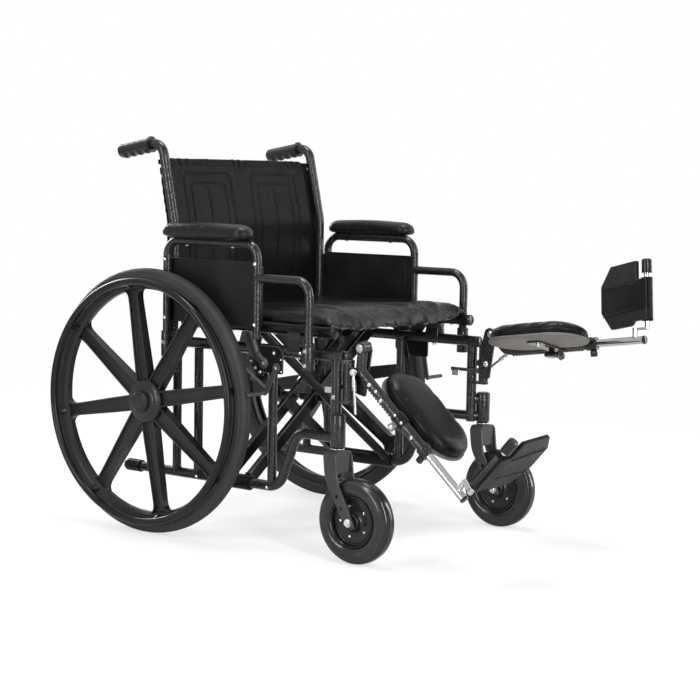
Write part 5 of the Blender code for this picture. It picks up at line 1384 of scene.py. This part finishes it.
def brake(word, side):
    body, out = word + "_side", Vector((side, 0, 0))
    plate_x, thick = FRAME_X + FRAME_TUBE_R + GAP, 0.003
    face = plate_x + thick
    inner = face + GAP
    outer = inner + 0.004
    pins = ((BRAKE_LEVER_Y, BRAKE_LEVER_Z), (BRAKE_SHOE_Y, BRAKE_SHOE_Z))
    rear, front = BRAKE_LEVER_Y + 0.018, BRAKE_SHOE_Y - 0.016
    low, high = BRAKE_SHOE_Z - 0.014, UPPER_RAIL_Z + 0.01
    bm = bmesh.new()
    outline = [at(side, plate_x, y, z) for y, z in (
        (rear, low + 0.016), (rear, high), (front + 0.012, high), (front, high - 0.014), (front, low),
        (rear - 0.022, low))]
    plate(bm, rounded_ring(outline, 0.006, 5), out * thick, edge=0.0007)
    for y, z in pins:
        cross_pin(bm, side, plate_x + 0.001, face + 0.0062, y, z, 0.004, 20)
    lug = [at(side, plate_x - 0.0004, y, z) for y, z in (
        (-0.29, 0.43), (-0.258, 0.43), (-0.258, 0.409), (-0.269, 0.391), (-0.284, 0.383), (-0.3, 0.383),
        (-0.3, 0.392))]
    plate(bm, rounded_ring(lug, 0.003, 3), out * 0.0026, edge=0.0005)
    piece(word + "_lock_plate", bm, "brace_coat", body, word + "_brake_plate")
    gathered(word + "_lock_bolts", "zinc", body, bolt,
             *((at(side, outer + GAP, y, z), out, 0.0038, 0.0026) for y, z in pins),
             *((at(side, face, y, z), out, 0.0027, 0.002, "dome")
               for y, z in ((-0.3505, 0.422), (-0.3515, 0.396))),
             *((at(side, plate_x + 0.002, y, z), out, 0.0042, 0.0028, "dome")
               for y, z in ((-0.2645, 0.4142), (-0.2905, 0.3905), (-0.276, 0.3985))))
    knob = at(side, face - 0.0004, -0.3355, 0.4365)
    star_knob(word + "_lock_knob", facing(knob, out), 0.0074, 0.0078, body)
    gathered(word + "_knob_screw", "zinc", body, bolt, (knob + out * 0.0076, out, 0.004, 0.002, "dome"))

    turn = radians(BRAKE_ANGLES[word])
    pin = at(side, 0, BRAKE_LEVER_Y, BRAKE_LEVER_Z)
    swing = Matrix.Translation(pin) @ Matrix.Rotation(turn * 1.6, 4, "X")
    spine = rounded([(0, -0.01, -0.006), (0, 0.024, 0.018), (0, 0.044, 0.063)], 0.03, 10)
    spine += [Vector((0, 0.045, 0.0655))]
    section = ((-1, -0.5), (-0.8, -1), (0.8, -1), (1, -0.5), (1, 0.3), (0.72, 1), (-0.72, 1), (-1, 0.3))
    rings = []
    for index, (point, way) in enumerate(zip(spine, path_ways(spine))):
        share = index / (len(spine) - 1)
        across = Vector((0, way.z, -way.y))
        wide = 0.0112 + 0.0046 * min(1, share * 1.5)
        wide *= sqrt(max(0.1, 1 - max(0.0, (share - 0.88) / 0.13) ** 2))
        wide *= sqrt(max(0.15, min(1, share * 9 + 0.3)))
        deep = 0.0018 + 0.0019 * min(1.0, share * 2.2)
        middle = out * (inner + 0.0002 + deep) + point
        rings.append([swing @ (middle + across * (wide * a) + out * (deep * b)) for a, b in section])
    bm = bmesh.new()
    loft(bm, rings)
    rod(bm, pin + out * inner, pin + out * outer, 0.0125, steps=32)
    piece(word + "_lock_handle", bm, "paddle_plastic", word + "_brake_lever", word + "_brake_lever",
          sharp=45)

    bar_z = BRAKE_SHOE_Z - SHOE_BAR_DROP
    tyre_y = -sqrt((WHEEL_R / cos(pi / 32)) ** 2 - (WHEEL_R - bar_z) ** 2) - SHOE_BAR_R - 0.001
    shut = Vector((0, tyre_y - BRAKE_SHOE_Y, -SHOE_BAR_DROP))
    shoe_pin = at(side, 0, BRAKE_SHOE_Y, BRAKE_SHOE_Z)
    foot = shoe_pin + Matrix.Rotation(-turn, 3, "X") @ shut
    middle = out * ((inner + outer) / 2)
    bm = bmesh.new()
    rod(bm, shoe_pin + out * inner, shoe_pin + out * outer, 0.0105, steps=28)
    bar(bm, shoe_pin + middle, foot + middle, 0.012, 0.0036, 0.0006)
    rod(bm, foot + out * (inner - 0.0002), foot + out * (TRACK_X + 0.01), SHOE_BAR_R, steps=20,
        edge=0.0012)
    ring_weld(bm, foot + out * (outer + 0.0002), out, SHOE_BAR_R + 0.0004, 0.0012)
    piece(word + "_lock_shoe", bm, "satin_coat", word + "_brake_shoe", word + "_brake_shoe")


# Leg rests


def leg_place(side, angle):
    """From leg coordinates (across, along the tube, towards the pad) about the knee pivot."""
    turn = radians(angle)
    axes = Matrix(((side, 0, 0), (0, -cos(turn), sin(turn)), (0, sin(turn), cos(turn))))
    return Matrix.Translation((0, KNEE_Y, KNEE_Z)) @ axes.transposed().to_4x4()


def hanger(word, side):
    body, out = word + "_hanger", Vector((side, 0, 0))
    cheek_in = LEG_X - 0.0125
    corners = [(HANGER_Y - 0.004, HANGER_BOTTOM_Z + 0.014), (HANGER_Y - 0.004, HANGER_TOP_Z - 0.004),
               (KNEE_Y + 0.016, KNEE_Z + 0.01), (KNEE_Y + 0.004, KNEE_Z + 0.016),
               (KNEE_Y - 0.01, KNEE_Z + 0.011), (KNEE_Y - 0.014, KNEE_Z - 0.004),
               (KNEE_Y - 0.01, KNEE_Z - 0.03), (STRUT_PIVOT_Y - 0.006, HANGER_BOTTOM_Z + 0.008)]
    bm = bmesh.new()
    outline = rounded_ring([at(side, cheek_in - 0.004, y, z) for y, z in corners], 0.006, 4)
    plate(bm, outline, out * 0.004, edge=0.0008)
    head = at(side, FRAME_X, HANGER_Y, HANGER_TOP_Z)
    rod(bm, at(side, FRAME_X, HANGER_Y, HANGER_BOTTOM_Z), head, HANGER_R, steps=28)
    cross_pin(bm, side, cheek_in - 0.002, FRAME_X, HANGER_Y, HANGER_BOTTOM_Z + 0.045, 0.008, 20)
    piece(word + "_hanger_cheek", bm, "vein_coat", body, word + "_leg_hanger")

    bm = bmesh.new()
    cross_pin(bm, side, cheek_in - 0.006, LEG_X + 0.0125, KNEE_Y, KNEE_Z, 0.0048, 20)
    bolt(bm, at(side, cheek_in - 0.004, KNEE_Y, KNEE_Z), -out, 0.0074, 0.0044)
    bolt(bm, at(side, LEG_X + 0.0118, KNEE_Y, KNEE_Z), out, 0.0078, 0.004)
    bolt(bm, at(side, cheek_in - 0.004, STRUT_PIVOT_Y + 0.004, STRUT_PIVOT_Z), -out, 0.006, 0.0036)
    bolt(bm, head, UP, 0.0058, 0.003)
    piece(word + "_hanger_bolts", bm, "zinc", body)

    x, y, z = FRAME_X - HANGER_R - 0.003, HANGER_Y, 0.373
    bm = bmesh.new()
    block(bm, at(side, x - 0.004, y + 0.008, z - 0.004), at(side, x, y + 0.082, z + 0.004), 0.0012)
    eye = [(0, -0.006), (0.0062, -0.006), (0.0062, 0.006), (0, 0.006)]
    lathe(bm, eye, facing(at(side, x - 0.002, y + 0.006, z), UP), 24, fillet=0.0012, arcs=3)
    piece(word + "_latch_bar", bm, "satin_coat", word + "_latch", word + "_hanger_latch")
    gathered(word + "_latch_tab", "zinc", word + "_latch", block,
             (at(side, x - 0.0045, y + 0.058, z - 0.016), at(side, x + 0.0005, y + 0.078, z - 0.002)))


def leg_rest(word, side):
    place, out, body = leg_place(side, LEG_ANGLES[word]), Vector((side, 0, 0)), word + "_leg"
    tube_n = -LEG_TUBE_OFFSET

    def leg(x, t, n):
        return place @ Vector((LEG_X + x, t, n))

    bm = bmesh.new()
    bend = [leg(0, 0, 0), leg(0, LEG_TUBE_START, tube_n), leg(0, LEG_TUBE_END - 0.016, tube_n)]
    tube(bm, rounded(bend, 0.02), LEG_TUBE_R, 24)
    rod(bm, leg(-0.0105, 0, 0), leg(0.011, 0, 0), 0.0135, steps=32, edge=0.0012)
    bar(bm, leg(0.002, 0.0, -0.006), leg(0.002, *STRUT_EYE), 0.01, 0.006)
    piece(word + "_leg_upper", bm, "vein_coat", body, word + "_leg_tube")

    strip = tube_n - LEG_TUBE_R
    teeth = [0.048 + step * 0.008 for step in range(24)]
    gathered(word + "_leg_rack", "satin_coat", body, block,
             ((LEG_X - 0.0032, 0.044, strip - 0.0012),
              (LEG_X + 0.0032, LEG_TUBE_END - 0.026, strip + 0.0012), 0.0004, place),
             *(((LEG_X - 0.003, t, strip - 0.0034), (LEG_X + 0.003, t + 0.0042, strip - 0.0008),
                0.0005, place) for t in teeth))

    bm = bmesh.new()
    low, high = leg(0, LEG_TUBE_END - 0.022, tube_n), leg(0, LEG_TUBE_END + 0.003, tube_n)
    bore, wide, narrow = EXTENSION_R + 0.0004, LEG_TUBE_R + 0.0042, LEG_TUBE_R + 0.003
    clamp = [(bore, 0), (wide, 0), (wide, 0.01), (narrow, 0.0115), (narrow, 0.024), (bore, 0.025)]
    lathe(bm, clamp, facing(low, high - low), 32, True, 0.0008)
    knob_base, knob_end = (leg(0, LEG_TUBE_END - 0.008, tube_n - drop) for drop in (0.01, 0.0305))
    rings = [lobed(radius, height, 8, 0.1 * (height > 0.005), 40) for height, radius in (
        (0.0, 0.0048), (0.004, 0.0052), (0.0055, 0.0068), (0.008, 0.0074), (0.0175, 0.0074),
        (0.0195, 0.0062))]
    loft(bm, rings, facing(knob_base, knob_end - knob_base))
    piece(word + "_length_clamp", bm, "black_plastic", body)

    bm = bmesh.new()
    rod(bm, leg(0.004, *STRUT_EYE), leg(STRUT_OUT + 0.006, *STRUT_EYE), 0.0048, steps=20)
    bolt(bm, leg(STRUT_OUT + 0.0062, *STRUT_EYE), out, 0.0066, 0.004)
    for t, n, radius in ((0.07, 0.001, 0.004), (0.092, 0.004, 0.00352), (0.114, -0.001, 0.004)):
        bolt(bm, leg(LEG_TUBE_R - 0.0006, t, tube_n + n), out, radius, 0.003)
    bolt(bm, leg(LEG_TUBE_R - 0.0005, 0.222, tube_n), out, 0.004, 0.0024, "dome")
    piece(word + "_leg_bolts", bm, "zinc", body)

    swivel = Matrix.Translation((LEG_X, 0, tube_n)) @ Matrix.Rotation(radians(TWISTS[word]), 4, "Y")
    lower = place @ swivel @ Matrix.Translation((-LEG_X, 0, -tube_n))
    extension(word, tube_n, lower)
    footplate(word, lower)
    calf_bracket(word, side, tube_n, out)

    body, eye = word + "_strut", leg(STRUT_OUT, *STRUT_EYE)
    way = (Vector((eye.x, STRUT_PIVOT_Y, STRUT_PIVOT_Z)) - eye).normalized()
    mid = eye + out * 0.004
    bm = bmesh.new()
    collar(bm, facing(eye + out * 0.0018, out), 0.0052, 0.0082, 0.0042, 0.0006, 28)
    rod(bm, mid + way * 0.006, mid + way * (STRUT_LENGTH - 0.003), 0.0032, steps=20)
    for step in range(9):
        ring_weld(bm, mid + way * (0.048 + step * 0.0048), way, 0.003, 0.0006)
    piece(word + "_ratchet_rod", bm, "chrome", body, word + "_leg_strut")
    first = way.orthogonal().normalized()
    second = way.cross(first)
    coil = []
    for step in range(121):
        turn = 2 * pi * step / 12
        aside = (first * cos(turn) + second * sin(turn)) * 0.0052
        coil.append(mid + way * (0.014 + 0.026 * step / 120) + aside)
    gathered(word + "_strut_spring", "zinc", body, tube, (coil, 0.0007, 8))


def extension(word, tube_n, lower):
    """The chromed length rod, its elbow and the upright pin that the footplate turns on."""
    def foot(x, t, n):
        return lower @ Vector((x, t, n))

    body, up_pin = word + "_extension", lower.to_3x3() @ UP
    start, end = foot(LEG_X, EXTENSION_START, tube_n), foot(LEG_X, EXTENSION_END, tube_n)
    bm = bmesh.new()
    rod(bm, start, end, EXTENSION_R, steps=32)
    rod(bm, foot(LEG_X, STEM_T, tube_n), foot(LEG_X + 0.002, STEM_T, -0.011), 0.0065, steps=24,
        edge=0.0015)
    bar(bm, foot(LEG_X + 0.001, STEM_T - 0.005, -0.012), foot(PLATE_HINGE_X, PLATE_HINGE_T, -0.012),
        0.011, 0.0085, 0.0016)
    ring_weld(bm, foot(LEG_X, STEM_T, tube_n + EXTENSION_R - 0.001), up_pin, 0.0068, 0.0012)
    pin_low, pin_high = (foot(PLATE_HINGE_X, PLATE_HINGE_T, n) for n in (-0.017, PLATE_HIGH - 0.002))
    rod(bm, pin_low, pin_high, HINGE_PIN_R, steps=24)
    piece(word + "_chrome_rod", bm, "chrome", body, word + "_leg_extension")
    bm = bmesh.new()
    plug(bm, end, end - start, EXTENSION_R + 0.0008, 0.005)
    cap = [(HINGE_PIN_R * r, height) for r, height in (
        (0, 0.0), (1.75, 0.0), (1.92, 0.001), (1.92, 0.029), (1.75, 0.0314), (0.8, 0.032), (0, 0.032))]
    lathe(bm, cap, facing(foot(PLATE_HINGE_X, PLATE_HINGE_T, PLATE_HIGH - 0.031), up_pin), 32,
          fillet=0.0008)
    piece(word + "_rod_caps", bm, "black_plastic", body)


def footplate(word, lower):
    """The fold-up footplate: a panel with cut corners, a raised border and a hinge barrel."""
    body = word + "_footplate"
    hinge = lower @ Matrix.Translation((PLATE_HINGE_X, PLATE_HINGE_T, 0))
    swing = hinge @ Matrix.Rotation(radians(PLATE_ANGLES[word]), 4, "Z")
    inner, outer, step, cut_off = -PLATE_INNER, PLATE_OUTER, -0.024, PLATE_CHAMFER
    low, high, lip, slant = BARREL_LOW + 0.002, BARREL_HIGH - 0.002, 0.0085, 0.003
    panel = [(outer, low), (outer, high), (step, high), (step, PLATE_HIGH),
             (inner + cut_off, PLATE_HIGH), (inner, PLATE_HIGH - cut_off),
             (inner, PLATE_LOW + cut_off), (inner + cut_off, PLATE_LOW), (2 * step, PLATE_LOW),
             (1.6 * step, low)]
    sunk = [(step - 0.004, PLATE_HIGH - lip), (inner + cut_off + slant, PLATE_HIGH - lip),
            (inner + lip, PLATE_HIGH - cut_off - slant), (inner + lip, PLATE_LOW + cut_off + slant),
            (inner + cut_off + slant, PLATE_LOW + lip), (2 * step - slant, PLATE_LOW + lip),
            (1.6 * step, low + lip * 0.6), (step - 0.004, low + lip * 0.6)]
    bm = bmesh.new()
    for outline, thick in ((panel, PLATE_THICK - 0.002), (sunk, -0.0014)):
        ring = rounded_ring([(w, 0.0045, n) for w, n in outline], 0.004, 3)
        plate(bm, ring, (0, thick, 0), swing, 0.001, True)
    for n, far_n in ((0.034, 0.028), (0.09, 0.096)):
        ridge = [(step - 0.01, n - 0.0016), (step - 0.01, n + 0.0016), (inner + 0.01, far_n + 0.0013),
                 (inner + 0.01, far_n - 0.0013)]
        for y, rise in ((0.0132, 0.0018), (0.0033, -0.002)):
            plate(bm, [(w, y, up) for w, up in ridge], (0, rise, 0), swing, 0.0005, True)
    block(bm, (step - 0.012, -0.001, 0.04), (step - 0.004, 0.005, 0.084), 0.0012, swing, 2)
    block(bm, (step + 0.004, -0.0105, 0.054), (step + 0.018, -0.006, 0.07), 0.0012, swing, 2)
    barrel = swing @ Matrix.Translation((0, 0, BARREL_LOW))
    collar(bm, barrel, HINGE_PIN_R + 0.0005, BARREL_R, BARREL_HIGH - BARREL_LOW, 0.0012, 36, 3)
    piece(word + "_foot_panel", bm, "tread_plastic", body, word + "_footplate", sharp=35)
    gathered(word + "_hinge_housing", "wheel_plastic", body, block,
             ((step - 0.006, -0.0075, low + 0.001), (outer - 0.003, 0.012, high - 0.001),
              0.0035, swing, 3))
    way = -(swing.to_3x3() @ BACK)
    gathered(word + "_plate_screws", "zinc", body, bolt,
             *((swing @ Vector((step - 0.008, 0.003, n)), way, 0.0036, 0.0024, "dome")
               for n in (0.038, 0.086)))


def calf_bracket(word, side, tube_n, out):
    _, base_n, place = calf_place(word, side)
    base_n -= GAP
    body, face, middle = word + "_calf", LEG_X + LEG_TUBE_R, CALF_CENTRE
    bm = bmesh.new()
    block(bm, (CALF_X - 0.022, middle - 0.018, base_n - 0.004), (LEG_X - 0.004, middle + 0.018, base_n),
          0.001, place)
    start, end = (place @ Vector((LEG_X, middle + away, tube_n)) for away in (-0.014, 0.014))
    collar(bm, facing(start, end - start), LEG_TUBE_R + 0.001, LEG_TUBE_R + 0.004, 0.028)
    piece(word + "_calf_arm", bm, "brace_coat", body, word + "_calf_bracket")
    under = -(place.to_3x3() @ UP)
    knob = place @ Vector((LEG_X - 0.03, middle, base_n - 0.0042))
    star_knob(word + "_calf_knob", facing(knob, under), 0.0145, 0.0175, body)
    clamp = place @ Vector((face + 0.0046, middle - 0.001, tube_n - 0.0195))
    gathered(word + "_calf_bolts", "zinc", body, bolt,
             *((place @ Vector((face + 0.0034, middle + t, tube_n + 0.006)), out, 0.0036, 0.0028,
                "dome") for t in (-0.011, 0.011)),
             (clamp, out, 0.0044, 0.0036),
             (place @ Vector((CALF_X, middle, base_n - 0.004)), under, 0.0058, 0.0036))
    bm, shape = bmesh.new(), bmesh.new()
    bmesh.ops.create_cone(shape, cap_ends=True, segments=6, radius1=0.0105, radius2=0.0098,
                          depth=0.0046)
    soften(shape, 0.0006, 30)
    put(bm, shape, facing(clamp - out * 0.0021, out))
    block(bm, (face - 0.001, middle - 0.009, tube_n - 0.021),
          (face + 0.0022, middle + 0.007, tube_n - 0.004), 0.0008, place)
    piece(word + "_calf_clamp", bm, "yellow_zinc", body)


# Studio

WHITE = (1.0, 1.0, 1.0, 1.0)
# Soft lamps: spot, height of the point that they face, width, height and power
SOFTBOXES = {
    "key_softbox": ((-1.5, -2.9, 1.35), 0.55, 0.34, 2.5, 88.0),
    "near_softbox": ((-3.1, 0.5, 1.35), 0.55, 0.26, 2.5, 60.0),
    "top_softbox": ((0.0, 0.1, 3.1), 0.4, 1.3, 0.7, 58.0),
    "far_softbox": ((2.6, -2.0, 1.35), 0.55, 0.28, 2.5, 48.0),
    "rear_softbox": ((0.6, 3.2, 1.8), 0.5, 1.0, 1.4, 64.0),
}


def cleared(holder):
    """The empty node tree of a world or a material."""
    holder.use_nodes = True
    holder.node_tree.nodes.clear()
    return holder.node_tree


def shown(tree, share, first, second, output):
    """Sends a mix of two shaders to the output."""
    both = node(tree, "MixShader", {0: share, 1: first.outputs[0], 2: second.outputs[0]})
    node(tree, output, {"Surface": both.outputs[0]})


def studio():
    """A pale floor, a white surround for the camera and for reflections, and soft lamps."""
    scene.world = bpy.data.worlds.new("studio")
    tree = cleared(scene.world)
    rays = node(tree, "LightPath").outputs
    seen = maths(tree, "MAXIMUM", rays["Is Camera Ray"], rays["Is Glossy Ray"])
    seen = maths(tree, "MAXIMUM", seen, rays["Is Transmission Ray"])
    lit = node(tree, "Background", {"Color": (0.95, 0.965, 1.0, 1.0), "Strength": 0.36})
    shown(tree, seen, lit, node(tree, "Background", {"Color": WHITE, "Strength": 1.0}), "OutputWorld")

    bm = bmesh.new()
    bmesh.ops.create_circle(bm, cap_ends=True, segments=96, radius=14.0)
    floor = link_mesh("studio_floor", bm)
    paint = bpy.data.materials.new("studio_floor")
    tree = cleared(paint)
    place = object_place(tree)
    away = node(tree, "VectorMath", {0: place}, operation="LENGTH").outputs["Value"]
    fade = spread(tree, away, 1.1, 3.0, 0.62, 1.0)
    share = times(tree, fade, node(tree, "LightPath").outputs["Is Camera Ray"])
    tone = mixed(tree, clouds(tree, place, 6.0, 4.0), (0.86, 0.86, 0.86, 1.0), (0.9, 0.9, 0.9, 1.0))
    matt = node(tree, "BsdfDiffuse", {"Color": tone})
    shown(tree, share, matt, node(tree, "Emission", {"Color": WHITE, "Strength": 1.0}),
          "OutputMaterial")
    floor.data.materials.append(paint)

    for name, (spot, aim, wide, tall, power) in SOFTBOXES.items():
        lamp = bpy.data.lights.new(name, "AREA")
        lamp.shape, lamp.size, lamp.size_y, lamp.energy = "RECTANGLE", wide, tall, power
        thing = bpy.data.objects.new(name, lamp)
        scene.collection.objects.link(thing)
        turn = (Vector((0, 0, aim)) - Vector(spot)).to_track_quat("-Z", "Y").to_matrix().to_4x4()
        thing.matrix_world = Matrix.Translation(spot) @ turn
        thing.visible_camera = False

    data = bpy.data.cameras.new("studio_camera")
    data.lens, data.sensor_width, data.clip_start, data.clip_end = 91.919, 36.0, 0.05, 60.0
    view = bpy.data.objects.new("studio_camera", data)
    scene.collection.objects.link(view)
    axes = Matrix(((0.61043, -0.79187, 0.01771), (0.0661, 0.0732, 0.99512),
                   (-0.78931, -0.60628, 0.09702)))
    spot = Matrix.Translation((-3.28516, -2.52038, 0.82804))
    view.matrix_world = spot @ axes.transposed().to_4x4()
    scene.camera = view
    scene.view_settings.view_transform = "Standard"


SIDED = (side_frame, push_grip, step_tip, rear_wheel, rear_tyre, handrim, caster, arm, arm_pad,
         rail_saddle, brake, hanger, leg_rest, calf_pad)
for word, side in (("right", -1), ("left", 1)):
    for make in SIDED:
        make(word, side)
seat()
back_rest()
brace("right_brace_bars", -1, OUTER_MEMBER_YS, (True, False), "right_rail_brace", "right_brace")
brace("left_brace_bars", 1, INNER_MEMBER_YS, (False, False), "left_rail_brace", "left_brace")
centre_bolt()
studio()
